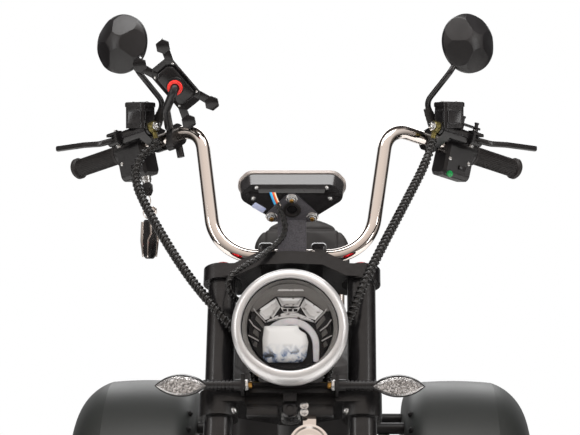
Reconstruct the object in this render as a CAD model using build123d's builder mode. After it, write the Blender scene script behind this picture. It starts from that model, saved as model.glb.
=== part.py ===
from build123d import *
import os
from math import cos, radians, sin

# Electric chopper trike: one steered front wheel, two rear wheels on a live axle.
# Millimetres. +Z is up, the front points to -Y, the rider's left is +X.
# The origin is on the ground, in the middle of the vehicle's length.

# Wheels and stance
front_tyre_diameter = 487.0
front_tyre_width = 130.0
rear_tyre_diameter = 477.0
rear_tyre_width = 215.0
rim_diameter = 305.0
front_rim_width = 90.0
rear_rim_width = 165.0
rim_flange = 5.0
rim_flange_height = 13.0
rim_wall = 6.0
rim_well_depth = 14.0
tyre_wall = 11.0
front_crown_drop = 12.0
rear_crown_drop = 8.0
spoke_count = 6
spoke_thickness = 16.0
wheelbase = 1230.0
track = 738.0

# Clearances
seat_gap = 0.3
clamp_fit = 0.15

# Front fork, measured along the raked steering axis from the front axle
rake = 28.0
stem_setback = 50.0
fork_half_spacing = 122.0
fork_tube_radius = 25.0
slider_radius = 18.0
fork_tube_bottom = 205.0
lower_clamp_height = 470.0
upper_clamp_height = 702.0
clamp_web = 24.0
lower_boss_height = 46.0
plate_edge = 9.0
web_recess = 12.0
upper_boss_height = 28.0
tube_boss_radius = 34.0
stem_boss_radius = 38.0
stem_radius = 16.7
head_tube_radius = 28.0
gull_rise = 19.0
cap_radius = 16.0
cap_height = 9.0
slider_overlap = 40.0
lug_radius = 22.0
lug_width = 36.0
axle_radius = 7.5
axle_sleeve_radius = 12.0
front_hub_width = 116.0
front_hub_radius = 30.0
disc_radius = 105.0
disc_bore = 62.0
disc_thickness = 4.0

# Handlebar: the left half's lower corner, then its run to the upper corner and on to the grip end
bar_radius = 12.7
bar_wall = 2.5
bar_half = 137.0
bar_setback = 20.7
riser_height = 20.4
bar_rise = (36.0, 118.0, 235.0)
bar_sweep = (250.0, 164.0, -77.0)
bar_low_bend = 85.0
bar_high_bend = 52.0
riser_spacing = 94.0
riser_radius = 13.5
riser_top = 16.0

# Rear end
fender_inner_x = 229.5
fender_outer_x = 509.0
fender_radius = 320.0
fender_lift = 18.0
fender_wall = 4.0
fender_front_angle = 84.0
fender_rear_angle = 100.0
fender_inner_corner = 55.0
fender_inner_skirt = 115.0
fender_outer_skirt = 105.0

# Chassis
beam_width = 160.0
beam_height = 60.0
beam_bottom = 150.0
beam_front = 420.0
beam_to_axle = 150.0
beam_rear = wheelbase - beam_to_axle
spine_radius = 28.0
bearer_radius = 14.0
bearer_half_length = 196.0
deck_thickness = 18.0
deck_front = 352.0
deck_to_axle = 434.0
deck_rear = wheelbase - deck_to_axle
deck_half_width = 215.0
mat_thickness = 4.0
seat_height = 600.0
seat_pan_thickness = 12.0

# Derived places
front_radius = front_tyre_diameter / 2
rear_radius = rear_tyre_diameter / 2
overall_length = front_radius + wheelbase + fender_radius
front_axle_y = front_radius - overall_length / 2
rear_axle_y = front_axle_y + wheelbase
tan_up = Vector(0, sin(radians(rake)), cos(radians(rake)))
tan_back = Vector(0, cos(radians(rake)), -sin(radians(rake)))


def at(x, y, z):
    """A point given by its distance behind the front axle."""
    return Vector(x, front_axle_y + y, z)


def fork_point(x, back, up):
    """A point given across, behind and up the raked fork from the front axle."""
    return at(x, 0, front_radius) + tan_back * back + tan_up * up


def fork_plane(up):
    """The plane square to the fork at a height along it: x across, y back."""
    return Plane(origin=fork_point(0, 0, up), x_dir=(1, 0, 0), z_dir=tan_up)


def fork_front_plane(back):
    """The plane of both fork tubes, seen from the front: x across, y up the fork."""
    return Plane(origin=fork_point(0, back, 0), x_dir=(1, 0, 0), z_dir=-tan_back)


def fork_side_plane(x):
    """The fork seen from the side at x: x back, y up the fork."""
    return Plane(origin=fork_point(x, 0, 0), x_dir=tan_back, z_dir=(1, 0, 0))


def axle_plane(x, y, z, angle=0.0):
    """A radial plane of a wheel axis: x along the axis, y outwards, leaning back by angle."""
    a = radians(angle)
    return Plane(origin=at(x, y, z), x_dir=(1, 0, 0), z_dir=(0, -cos(a), sin(a)))


def side_plane(x):
    """The plane of the vehicle's side view at x: x back from the front axle, y up."""
    return Plane(origin=at(x, 0, 0), x_dir=(0, 1, 0), z_dir=(1, 0, 0))


def wheel_axis(x, y, z):
    return Axis(at(x, y, z), (1, 0, 0))


def swept_tube(points, radii, outer, inner=0.0):
    """A round tube along straight runs joined by tangent arcs."""
    with BuildPart() as tube:
        with BuildLine() as route:
            FilletPolyline(*points, radius=radii)
        with BuildSketch(Plane(origin=route.line @ 0, z_dir=route.line % 0)):
            Circle(outer)
            if inner:
                Circle(inner, mode=Mode.SUBTRACT)
        sweep()
    return tube.part


tube_spots = [(-fork_half_spacing, 0), (fork_half_spacing, 0)]


# Tyres: a hollow carcass whose beads sit between the rim's flanges
def tyre_ring(x, y, radius, width, rim_width, crown_drop):
    bead_x = rim_width / 2 - seat_gap
    bead_r = rim_diameter / 2 + seat_gap
    shoulder_x = 0.41 * width
    flex_r = rim_diameter / 2 + rim_flange_height + 3
    wide_r = (flex_r + radius) / 2
    with BuildPart() as tyre:
        with BuildSketch(axle_plane(x, y, radius)):
            for inset, mode in ((0.0, Mode.ADD), (tyre_wall, Mode.SUBTRACT)):
                lip = bead_r if inset == 0 else bead_r - tyre_wall
                foot = bead_x - inset
                crown = radius - inset
                with BuildLine():
                    shoulder = (shoulder_x - inset * 0.7, crown - crown_drop)
                    Line((-foot, lip), (foot, lip))
                    Line((foot, lip), (foot, flex_r))
                    ThreePointArc((foot, flex_r), (width / 2 - inset, wide_r), shoulder)
                    ThreePointArc(shoulder, (0, crown), (-shoulder[0], shoulder[1]))
                    ThreePointArc(
                        (-shoulder[0], shoulder[1]), (inset - width / 2, wide_r), (-foot, flex_r)
                    )
                    Line((-foot, flex_r), (-foot, lip))
                make_face(mode=mode)
        revolve(axis=wheel_axis(x, y, radius))
    return tyre.part


# Cast alloy wheels: a dropped-centre barrel, spokes and a bored hub
def cast_wheel(x, y, radius, rim_width, hub_radius, hub_in, hub_out, bore, spoke_x):
    half = rim_width / 2
    seat = rim_diameter / 2
    well = seat - rim_well_depth
    contour = [
        (half, seat),
        (half, seat + rim_flange_height),
        (half + rim_flange, seat + rim_flange_height),
        (half + rim_flange, seat - rim_wall),
        (half - 18, seat - rim_wall),
        (half - 30, well - rim_wall),
    ]
    outer = [(half - 28, well), (half - 16, seat)]
    barrel = [(-px, py) for px, py in reversed(outer)]
    with BuildPart() as wheel:
        with BuildSketch(axle_plane(x, y, radius)):
            with BuildLine():
                Polyline(
                    *outer,
                    *contour,
                    *[(-px, py) for px, py in reversed(contour)],
                    *barrel,
                    close=True,
                )
            make_face()
            with Locations(((hub_out - hub_in) / 2, hub_radius / 2)):
                Rectangle(hub_in + hub_out, hub_radius)
        revolve(axis=wheel_axis(x, y, radius))
        reach = well - rim_wall + 2
        with BuildSketch(Plane(origin=at(x + spoke_x, y, radius), x_dir=(0, 1, 0), z_dir=(1, 0, 0))):
            with PolarLocations(0, spoke_count):
                Polygon((hub_radius - 6, 13), (hub_radius - 6, -13), (reach, -19), (reach, 19), align=None)
        extrude(amount=spoke_thickness / 2, both=True)
        with BuildSketch(Plane(origin=at(x - hub_in - 1, y, radius), x_dir=(0, 1, 0), z_dir=(1, 0, 0))):
            Circle(bore)
        extrude(amount=hub_in + hub_out + 2, mode=Mode.SUBTRACT)
    return wheel.part


front_tyre = tyre_ring(0, 0, front_radius, front_tyre_width, front_rim_width, front_crown_drop)
front_rim = cast_wheel(
    0,
    0,
    front_radius,
    front_rim_width,
    front_hub_radius,
    front_hub_width / 2,
    front_hub_width / 2,
    axle_radius + seat_gap,
    0,
)

with BuildPart() as front_disc:
    disc_x = -front_hub_width / 2 - disc_thickness - seat_gap
    with BuildSketch(Plane(origin=at(disc_x, 0, front_radius), x_dir=(0, 1, 0), z_dir=(1, 0, 0))):
        Circle(disc_radius)
        Circle(axle_sleeve_radius + 3, mode=Mode.SUBTRACT)
        with PolarLocations(disc_bore - 22, 5):
            Circle(13, mode=Mode.SUBTRACT)
        for ring in (78.0, 92.0):
            with PolarLocations(ring, 12, start_angle=ring):
                Circle(4, mode=Mode.SUBTRACT)
    extrude(amount=disc_thickness)

rear_hub_in = 55.0
rear_hub_out = 70.0
stub_radius = 12.5
rear_spoke_x = 38.0
rear_tyre_left = tyre_ring(
    track / 2, wheelbase, rear_radius, rear_tyre_width, rear_rim_width, rear_crown_drop
)
rear_rim_left = cast_wheel(
    track / 2,
    wheelbase,
    rear_radius,
    rear_rim_width,
    42,
    rear_hub_in,
    rear_hub_out,
    stub_radius + seat_gap,
    rear_spoke_x,
)

# Rear axle: a beam with the motor and differential in the middle and a stub for each wheel
with BuildPart() as rear_axle:
    hub_face = track / 2 - rear_hub_in - seat_gap
    nut_face = track / 2 + rear_hub_out + seat_gap
    for sketch_radius, start, stop in (
        (25.0, 0.0, hub_face - 14),
        (80.0, hub_face - 14, hub_face),
        (stub_radius, hub_face, nut_face + 16),
        (20.0, nut_face, nut_face + 12),
        (78.0, 0.0, 85.0),
        (62.0, 85.0, 100.0),
    ):
        with BuildSketch(
            Plane(origin=at(start, wheelbase, rear_radius), x_dir=(0, 1, 0), z_dir=(1, 0, 0))
        ):
            Circle(sketch_radius)
        extrude(amount=stop - start)
    mirror(about=Plane.YZ)

arm_x = 185.0
arm_width = 36.0
arm_height = 40.0
arm_length = 330.0
arm_pivot_y = wheelbase - arm_length
arm_top = rear_radius - 25.0 - seat_gap
arm_mid = arm_top - arm_height / 2
with BuildPart() as trailing_arms:
    with BuildSketch(side_plane(arm_x - arm_width / 2)):
        with Locations(((arm_pivot_y + wheelbase) / 2 + 8, arm_mid)):
            RectangleRounded(wheelbase - arm_pivot_y + 56, arm_height, 16)
    extrude(amount=arm_width)
    mirror(about=Plane.YZ)

# Chassis: head tube, down tube and floor beam are one weldment
head_bottom = lower_clamp_height + clamp_web / 2 + seat_gap
head_top = upper_clamp_height - clamp_web / 2 + 2
with BuildPart() as frame_spine:
    with BuildSketch(fork_plane(head_bottom)):
        with Locations((0, stem_setback)):
            Circle(head_tube_radius)
    extrude(amount=head_top - head_bottom)
    down_tube = swept_tube(
        [
            fork_point(0, stem_setback, (head_bottom + head_top) / 2),
            at(0, 405, 560),
            at(0, 440, beam_bottom + beam_height / 2),
            at(0, 620, beam_bottom + beam_height / 2),
        ],
        [140.0, 110.0],
        spine_radius,
    )
    add(down_tube)
    with BuildSketch(side_plane(-beam_width / 2)):
        with Locations(((beam_front + beam_rear) / 2, beam_bottom + beam_height / 2)):
            RectangleRounded(beam_rear - beam_front, beam_height, 12)
    extrude(amount=beam_width)
    with BuildSketch(side_plane(-arm_x + arm_width / 2 + seat_gap)):
        with Locations((arm_pivot_y, arm_mid)):
            Circle(15)
    extrude(amount=2 * arm_x - arm_width - 2 * seat_gap)
    with BuildSketch(fork_plane(head_bottom - 1)):
        with Locations((0, stem_setback)):
            Circle(stem_radius + seat_gap)
    extrude(amount=head_top - head_bottom + 2, mode=Mode.SUBTRACT)

bearer_z = beam_bottom + beam_height + seat_gap + bearer_radius
bearer_start = spine_radius + 8.0
bearer_pitch = (deck_rear - beam_front - 64) / 3
with BuildPart() as deck_bearers:
    for bearer in range(3):
        with BuildSketch(side_plane(bearer_start)):
            with Locations((deck_rear - 56 - bearer * bearer_pitch, bearer_z)):
                Circle(bearer_radius)
        extrude(amount=bearer_half_length - bearer_start)
    mirror(about=Plane.YZ)

deck_bottom = bearer_z + bearer_radius + seat_gap
deck_top = deck_bottom + deck_thickness
with BuildPart() as footboard:
    with BuildSketch(Plane(origin=at(0, 0, deck_bottom), x_dir=(1, 0, 0), z_dir=(0, 0, 1))):
        with Locations((0, (deck_front + deck_rear) / 2)):
            RectangleRounded(2 * deck_half_width, deck_rear - deck_front, 45)
        with Locations((0, deck_front + 62)):
            SlotOverall(150, 2 * spine_radius + 16, rotation=90, mode=Mode.SUBTRACT)
    extrude(amount=deck_thickness)
    fillet(footboard.edges().group_by(Axis.Z)[-1], 6)

with BuildPart() as floor_mats:
    with BuildSketch(
        Plane(origin=at(0, 0, deck_top + seat_gap), x_dir=(1, 0, 0), z_dir=(0, 0, 1))
    ):
        with Locations((deck_half_width - 92, deck_rear - 176)):
            RectangleRounded(140, deck_rear - deck_front - 144, 20)
    extrude(amount=mat_thickness)
    mirror(about=Plane.YZ)

# Rear frame: two hooped uprights and the cross tubes that carry the fenders
upright_x = 60.0
upright_radius = 16.0
upright_foot = beam_bottom + 32.0
hoop_top = seat_height - upright_radius - seat_gap
upright_low_y = wheelbase - 102.0
upright_high_y = wheelbase - 62.0
cross_z = rear_radius + fender_lift + 223.6
cross_share = (cross_z - upright_foot) / (hoop_top - upright_foot)
cross_front = (upright_low_y + cross_share * (upright_high_y - upright_low_y), cross_z)
cross_rear = (wheelbase + 82.0, cross_z)
rear_leg_drop = 60.0
cross_reach = fender_inner_x - seat_gap
with BuildPart() as rear_frame:
    upright = swept_tube(
        [
            at(upright_x, beam_rear + seat_gap, upright_foot),
            at(upright_x, upright_low_y, upright_foot),
            at(upright_x, upright_high_y, hoop_top),
            at(upright_x, cross_rear[0] - 14, hoop_top),
            at(upright_x, cross_rear[0], cross_z - rear_leg_drop),
        ],
        [28.0, 34.0, 34.0],
        upright_radius,
    )
    add(upright)
    mirror(about=Plane.YZ)
    for cross in (cross_front, cross_rear):
        with BuildSketch(side_plane(-cross_reach)):
            with Locations(cross):
                Circle(13)
        extrude(amount=2 * cross_reach)


# Rear fenders: a deep section swept round the wheel, with an inner wall and a rolled outer side
def fender_section(inset):
    top = fender_radius - inset
    inner = fender_inner_x + inset
    outer = fender_outer_x - inset
    corner = fender_inner_corner - inset
    foot = fender_radius - fender_inner_skirt - 2 * inset
    skirt = fender_radius - fender_outer_skirt - 2 * inset
    turn = 0.293 * corner
    with BuildSketch() as section:
        with BuildLine():
            Line((inner, foot), (inner, top - corner))
            ThreePointArc(
                (inner, top - corner), (inner + turn, top - turn - 1), (inner + corner, top - 2)
            )
            ThreePointArc((inner + corner, top - 2), (outer - 149, top), (outer - 79, top - 4))
            ThreePointArc((outer - 79, top - 4), (outer - 27, top - 38), (outer, skirt))
            Polyline((outer, skirt), (outer, foot), (inner, foot))
        make_face()
    return section.sketch


fender_z = rear_radius + fender_lift
with BuildPart() as rear_fender_left:
    for inset, mode in ((0.0, Mode.ADD), (fender_wall, Mode.SUBTRACT)):
        with BuildSketch(axle_plane(0, wheelbase, fender_z, fender_rear_angle)):
            add(fender_section(inset))
        revolve(
            axis=wheel_axis(0, wheelbase, fender_z),
            revolution_arc=fender_front_angle + fender_rear_angle,
            mode=mode,
        )

lamp_radius = 31.0
lamp_z = 440.0
with BuildPart() as tail_lamps:
    with BuildSketch(
        Plane(origin=at(track / 2, wheelbase + fender_radius - 28, lamp_z), x_dir=(1, 0, 0), z_dir=(0, -1, 0))
    ):
        Circle(lamp_radius)
    extrude(amount=75)
    fillet(tail_lamps.edges().group_by(Axis.Y)[-1], 7)
    with BuildSketch(axle_plane(0, wheelbase, fender_z, fender_rear_angle)):
        add(fender_section(-seat_gap))
    revolve(
        axis=wheel_axis(0, wheelbase, fender_z),
        revolution_arc=fender_front_angle + fender_rear_angle,
        mode=Mode.SUBTRACT,
    )
    mirror(about=Plane.YZ)

# Shock absorbers: a scalloped coil envelope over the damper, an eye at each end
shock_low = (wheelbase - 44.0, arm_top + 14 + seat_gap)
shock_high = (cross_front[0] + 3, cross_z - 13 - 14 - seat_gap)
with BuildPart() as rear_shocks:
    foot = Vector(arm_x, *shock_low)
    head = Vector(arm_x, *shock_high)
    foot_at = at(arm_x, *shock_low)
    head_at = at(arm_x, *shock_high)
    axis_dir = (head_at - foot_at).normalized()
    length = (head_at - foot_at).length
    coil_low, coil_high, coil_turns = 40.0, length - 34.0, 7
    pitch = (coil_high - coil_low) / coil_turns
    with BuildSketch(Plane(origin=foot_at, x_dir=(1, 0, 0), z_dir=Vector(1, 0, 0).cross(axis_dir))):
        with BuildLine():
            Line((0, 0), (10, 0))
            Line((10, 0), (10, coil_low - 8))
            Line((10, coil_low - 8), (26, coil_low - 8))
            Line((26, coil_low - 8), (26, coil_low))
            for turn in range(coil_turns):
                low = coil_low + turn * pitch
                ThreePointArc((22 if turn else 26, low), (27, low + pitch / 2), (22, low + pitch))
            Line((22, coil_high), (26, coil_high))
            Line((26, coil_high), (26, coil_high + 8))
            Line((26, coil_high + 8), (12, coil_high + 8))
            Line((12, coil_high + 8), (12, length))
            Line((12, length), (0, length))
            Line((0, length), (0, 0))
        make_face()
    revolve(axis=Axis(foot_at, axis_dir))
    for eye in (foot_at, head_at):
        with BuildSketch(Plane(origin=eye - Vector(13, 0, 0), x_dir=(0, 1, 0), z_dir=(1, 0, 0))):
            Circle(14)
        extrude(amount=26)
    mirror(about=Plane.YZ)

# Seat box, seat and backrest
box_front = deck_rear + 4.0
box_rear = beam_rear - 6.0
box_half = 150.0
with BuildPart() as seat_box:
    for level, half, front, rear in (
        (beam_bottom + beam_height + seat_gap, box_half - 22, box_front + 26, box_rear),
        (0.55 * seat_height, box_half, box_front, box_rear),
        (seat_height - seat_gap, box_half - 14, box_front + 10, box_rear),
    ):
        with BuildSketch(Plane(origin=at(0, 0, level), x_dir=(1, 0, 0), z_dir=(0, 0, 1))):
            with Locations((0, (front + rear) / 2)):
                RectangleRounded(2 * half, rear - front, 34)
    loft(ruled=True)

seat_front = wheelbase - 458.0
seat_rear = wheelbase + 44.0
seat_half = 165.0
nose_half = 112.0
with BuildPart() as seat_pan:
    with BuildSketch(Plane(origin=at(0, 0, seat_height), x_dir=(1, 0, 0), z_dir=(0, 0, 1))) as pan:
        with BuildLine():
            Polyline(
                (nose_half - 8, seat_front + 14),
                (seat_half - 8, seat_front + 190),
                (seat_half - 8, seat_rear - 8),
                (8 - seat_half, seat_rear - 8),
                (8 - seat_half, seat_front + 190),
                (8 - nose_half, seat_front + 14),
                close=True,
            )
        make_face()
        fillet(pan.vertices(), 38)
    extrude(amount=seat_pan_thickness)

cushion_bottom = seat_height + seat_pan_thickness + seat_gap
with BuildPart() as seat_cushion:
    with BuildSketch(side_plane(-seat_half)):
        with BuildLine():
            Polyline(
                (seat_front, cushion_bottom),
                (seat_front, cushion_bottom + 52),
                (seat_front + 120, cushion_bottom + 80),
                (seat_front + 290, cushion_bottom + 72),
                (seat_front + 340, cushion_bottom + 112),
                (seat_rear, cushion_bottom + 120),
                (seat_rear, cushion_bottom),
                close=True,
            )
        make_face()
    extrude(amount=2 * seat_half)
    fillet(seat_cushion.edges().filter_by(Axis.X).group_by(Axis.Z)[-1], 26)
    with BuildSketch(Plane(origin=at(0, 0, cushion_bottom), x_dir=(1, 0, 0), z_dir=(0, 0, 1))) as plan:
        with BuildLine():
            Polyline(
                (nose_half, seat_front),
                (seat_half, seat_front + 200),
                (seat_half, seat_rear),
                (-seat_half, seat_rear),
                (-seat_half, seat_front + 200),
                (-nose_half, seat_front),
                close=True,
            )
        make_face()
        fillet(plan.vertices(), 42)
    extrude(amount=150, mode=Mode.INTERSECT)

hoop_radius = 11.0
hoop_x = upright_x + upright_radius + hoop_radius + seat_gap
hoop_foot = (wheelbase + 70.0, seat_height - 100.0)
hoop_knee = (wheelbase + 70.0, seat_height + 40.0)
hoop_crest = (wheelbase + 110.0, seat_height + 305.0)
backrest_hoop = swept_tube(
    [
        at(hoop_x, *hoop_foot),
        at(hoop_x, *hoop_knee),
        at(hoop_x, *hoop_crest),
        at(-hoop_x, *hoop_crest),
        at(-hoop_x, *hoop_knee),
        at(-hoop_x, *hoop_foot),
    ],
    [120.0, 55.0, 55.0, 120.0],
    hoop_radius,
    hoop_radius - 2,
)

pad_width = 230.0
pad_height = 185.0
pad_arch = 75.0
pad_thickness = 52.0
pad_top = seat_height + 344.0
with BuildPart() as backrest_pad:
    lean = (at(0, *hoop_crest) - at(0, *hoop_knee)).normalized()
    out = Vector(1, 0, 0).cross(lean)
    share = (pad_top - hoop_knee[1]) / (hoop_crest[1] - hoop_knee[1])
    crest = at(0, *hoop_knee) + (at(0, *hoop_crest) - at(0, *hoop_knee)) * share
    pad_back = crest + out * (hoop_radius + seat_gap)
    with BuildSketch(Plane(origin=pad_back, x_dir=(1, 0, 0), z_dir=out)):
        with Locations((0, -pad_arch)):
            Ellipse(pad_width / 2, pad_arch)
        with Locations((0, -(pad_height + pad_arch) / 2)):
            Rectangle(pad_width, pad_height - pad_arch)
        with Locations((0, -pad_height / 2)):
            RectangleRounded(pad_width, pad_height, 30, mode=Mode.INTERSECT)
    extrude(amount=pad_thickness)
    fillet(backrest_pad.faces().sort_by(Axis.Y)[0].edges(), 16)

# Steering: clamps, stem, fork legs and caps
with BuildPart() as lower_clamp:
    with BuildSketch(fork_plane(lower_clamp_height - clamp_web / 2)):
        with Locations(*tube_spots):
            Circle(tube_boss_radius)
        with Locations((0, stem_setback)):
            Circle(stem_boss_radius)
        make_hull()
    extrude(amount=clamp_web)
    with BuildSketch(fork_front_plane(-web_recess)):
        with Locations((0, lower_clamp_height - plate_edge)):
            for side in (-1, 1):
                with Locations((side * (fork_half_spacing - tube_boss_radius) / 2, 0)):
                    Rectangle(fork_half_spacing - tube_boss_radius - 22, clamp_web)
    extrude(amount=60, mode=Mode.SUBTRACT)
    with BuildSketch(fork_plane(lower_clamp_height + clamp_web / 2 - lower_boss_height)):
        with Locations(*tube_spots):
            Circle(tube_boss_radius)
    extrude(amount=lower_boss_height)
    with BuildSketch(fork_plane(lower_clamp_height - lower_boss_height)):
        with Locations(*tube_spots):
            Circle(fork_tube_radius + clamp_fit)
        with Locations((0, stem_setback)):
            Circle(stem_radius + clamp_fit)
    extrude(amount=2 * lower_boss_height, mode=Mode.SUBTRACT)

gull_top = upper_clamp_height + clamp_web / 2 + gull_rise
with BuildPart() as upper_clamp:
    with BuildSketch(fork_plane(upper_clamp_height - 2 * clamp_web)):
        with Locations(*tube_spots):
            Circle(tube_boss_radius)
        with Locations((0, stem_setback), (0, -8)):
            Circle(stem_boss_radius)
        make_hull()
    extrude(amount=4 * clamp_web)
    with BuildSketch(fork_front_plane(-2 * stem_setback)):
        low, high = upper_clamp_height - clamp_web / 2, upper_clamp_height + clamp_web / 2
        with BuildLine():
            half = [
                (60, gull_top),
                (fork_half_spacing - 22, high),
                (2 * fork_half_spacing, high),
                (2 * fork_half_spacing, low),
                (fork_half_spacing - 26, low),
                (54, low + gull_rise),
            ]
            Polyline(*half, *[(-px, py) for px, py in reversed(half)], close=True)
        make_face()
    extrude(amount=-4 * stem_setback, mode=Mode.INTERSECT)
    with BuildSketch(fork_plane(upper_clamp_height - upper_boss_height / 2)):
        with Locations(*tube_spots):
            Circle(tube_boss_radius)
    extrude(amount=upper_boss_height)
    with BuildSketch(fork_plane(upper_clamp_height - 3 * clamp_web)):
        with Locations(*tube_spots):
            Circle(fork_tube_radius + clamp_fit)
        with Locations((0, stem_setback)):
            Circle(stem_radius + clamp_fit)
    extrude(amount=6 * clamp_web, mode=Mode.SUBTRACT)

stem_bottom = lower_clamp_height - clamp_web / 2 - 6
with BuildPart() as steering_stem:
    with BuildSketch(fork_plane(stem_bottom)):
        with Locations((0, stem_setback)):
            Circle(stem_radius)
    extrude(amount=gull_top + 4 - stem_bottom)
    with BuildSketch(fork_plane(gull_top + seat_gap)):
        with Locations((0, stem_setback)):
            RegularPolygon(20, 6)
    extrude(amount=11)

fork_tube_top = upper_clamp_height + upper_boss_height / 2 + 2
with BuildPart() as fork_tubes:
    with BuildSketch(fork_plane(fork_tube_bottom)):
        with Locations(*tube_spots):
            Circle(fork_tube_radius)
            Circle(slider_radius + seat_gap, mode=Mode.SUBTRACT)
    extrude(amount=fork_tube_top - fork_tube_bottom)

with BuildPart() as fork_caps:
    with BuildSketch(fork_plane(fork_tube_top + seat_gap)):
        with Locations(*tube_spots):
            RegularPolygon(cap_radius, 12)
    extrude(amount=cap_height)
    chamfer(fork_caps.faces().filter_by(Plane(origin=(0, 0, 0), z_dir=tan_up)).sort_by(Axis.Z)[-2:].edges(), 3)
    with BuildSketch(fork_plane(fork_tube_top + seat_gap - 20)):
        with Locations(*tube_spots):
            Circle(slider_radius)
    extrude(amount=20)

with BuildPart() as fork_sliders:
    with BuildSketch(fork_plane(0)):
        with Locations(*tube_spots):
            Circle(slider_radius)
    extrude(amount=fork_tube_bottom + slider_overlap)
    for side in (-1, 1):
        with BuildSketch(
            Plane(
                origin=at(side * fork_half_spacing - lug_width / 2, 0, front_radius),
                x_dir=(0, 1, 0),
                z_dir=(1, 0, 0),
            )
        ):
            Circle(lug_radius)
        extrude(amount=lug_width)
        with BuildSketch(
            Plane(
                origin=at(side * fork_half_spacing - lug_width, 0, front_radius),
                x_dir=(0, 1, 0),
                z_dir=(1, 0, 0),
            )
        ):
            Circle(axle_radius + clamp_fit)
        extrude(amount=2 * lug_width, mode=Mode.SUBTRACT)

lug_inner = fork_half_spacing - lug_width / 2
lug_outer = fork_half_spacing + lug_width / 2
with BuildPart() as front_axle:
    for sketch_radius, start, stop in (
        (axle_radius, -lug_outer - 14, lug_outer + 14),
        (axle_sleeve_radius, front_hub_width / 2 + seat_gap, lug_inner - seat_gap),
        (axle_sleeve_radius, seat_gap - lug_inner, -front_hub_width / 2 - seat_gap),
        (13.0, lug_outer + seat_gap, lug_outer + 11),
        (13.0, -lug_outer - 11, -lug_outer - seat_gap),
    ):
        with BuildSketch(Plane(origin=at(start, 0, front_radius), x_dir=(0, 1, 0), z_dir=(1, 0, 0))):
            Circle(sketch_radius)
        extrude(amount=stop - start)

# Front fender between the fork legs
front_fender_half = 82.0
front_fender_radius = 268.0
front_fender_wall = 3.5
with BuildPart() as front_fender:
    for inset, mode in ((0.0, Mode.ADD), (front_fender_wall, Mode.SUBTRACT)):
        with BuildSketch(axle_plane(0, 0, front_radius, 72)):
            half_width = front_fender_half - inset
            top = front_fender_radius - inset
            foot = front_fender_radius - 58 - 2 * inset
            with BuildLine():
                Line((-half_width, foot), (half_width, foot))
                Line((half_width, foot), (half_width, top - 40))
                ThreePointArc((half_width, top - 40), (half_width - 12, top - 13), (half_width - 40, top - 3))
                ThreePointArc((half_width - 40, top - 3), (0, top), (40 - half_width, top - 3))
                ThreePointArc((40 - half_width, top - 3), (12 - half_width, top - 13), (-half_width, top - 40))
                Line((-half_width, top - 40), (-half_width, foot))
            make_face()
        revolve(axis=wheel_axis(0, 0, front_radius), revolution_arc=72 + 52, mode=mode)

with BuildPart() as front_fender_stays:
    with BuildSketch(fork_front_plane(-14)):
        with BuildLine():
            Polyline(
                (front_fender_half + seat_gap, 226),
                (front_fender_half + seat_gap + 4, 226),
                (front_fender_half + seat_gap + 4, 172),
                (fork_half_spacing - slider_radius - seat_gap, 164),
                (fork_half_spacing - slider_radius - seat_gap, 140),
                (front_fender_half + seat_gap, 140),
                close=True,
            )
        make_face()
    extrude(amount=-28)
    mirror(about=Plane.YZ)

# Front brake caliper on the right-hand slider, straddling the disc
caliper_back, caliper_up = 56.0, 62.0
caliper_in, caliper_out = 46.0, 80.0
disc_mid = front_hub_width / 2 + seat_gap + disc_thickness / 2
with BuildPart() as front_caliper:
    with BuildSketch(fork_side_plane(-caliper_out)):
        with Locations((caliper_back, caliper_up)):
            RectangleRounded(50, 66, 12, rotation=45)
    extrude(amount=caliper_out - caliper_in)
    with BuildSketch(fork_side_plane(-disc_mid - disc_thickness / 2 - 3)):
        Circle(disc_radius + 4)
    extrude(amount=disc_thickness + 6, mode=Mode.SUBTRACT)
    with BuildSketch(fork_side_plane(-caliper_out - 8)):
        with BuildLine():
            Polyline((slider_radius - 6, 118), (70, 78), (70, 40), (slider_radius - 6, 64), close=True)
        make_face()
    extrude(amount=8)
    with BuildSketch(fork_side_plane(-fork_half_spacing)):
        with Locations((0, 92)):
            Rectangle(2 * slider_radius + 12, 50)
    extrude(amount=fork_half_spacing - caliper_out)
    with BuildSketch(fork_plane(0)):
        with Locations((-fork_half_spacing, 0)):
            Circle(slider_radius + seat_gap)
    extrude(amount=fork_tube_bottom, mode=Mode.SUBTRACT)

# Handlebar, risers and hand controls
bar_start = fork_point(bar_half, bar_setback, gull_top + riser_height)
bar_corner = bar_start + Vector(*bar_rise)
bar_end = bar_corner + Vector(*bar_sweep)
bar_out = (bar_end - bar_corner).normalized()
bar_reach = (bar_end - bar_corner).length
bar_up = (Vector(0, 0, 1) - bar_out * bar_out.Z).normalized()
bar_back = bar_up.cross(bar_out)


def opposite(point):
    return Vector(-point.X, point.Y, point.Z)


def bar_point(along, back, up):
    """A point by the left grip: along the bar from its upper corner, behind it and above it."""
    return bar_corner + bar_out * along + bar_back * back + bar_up * up


def bar_section(along):
    """The plane square to the left grip: x back, y up."""
    return Plane(origin=bar_point(along, 0, 0), x_dir=bar_back, z_dir=bar_out)


handlebar = swept_tube(
    [
        opposite(bar_end),
        opposite(bar_corner),
        opposite(bar_start),
        bar_start,
        bar_corner,
        bar_end,
    ],
    [bar_high_bend, bar_low_bend, bar_low_bend, bar_high_bend],
    bar_radius,
    bar_radius - bar_wall,
)

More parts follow.
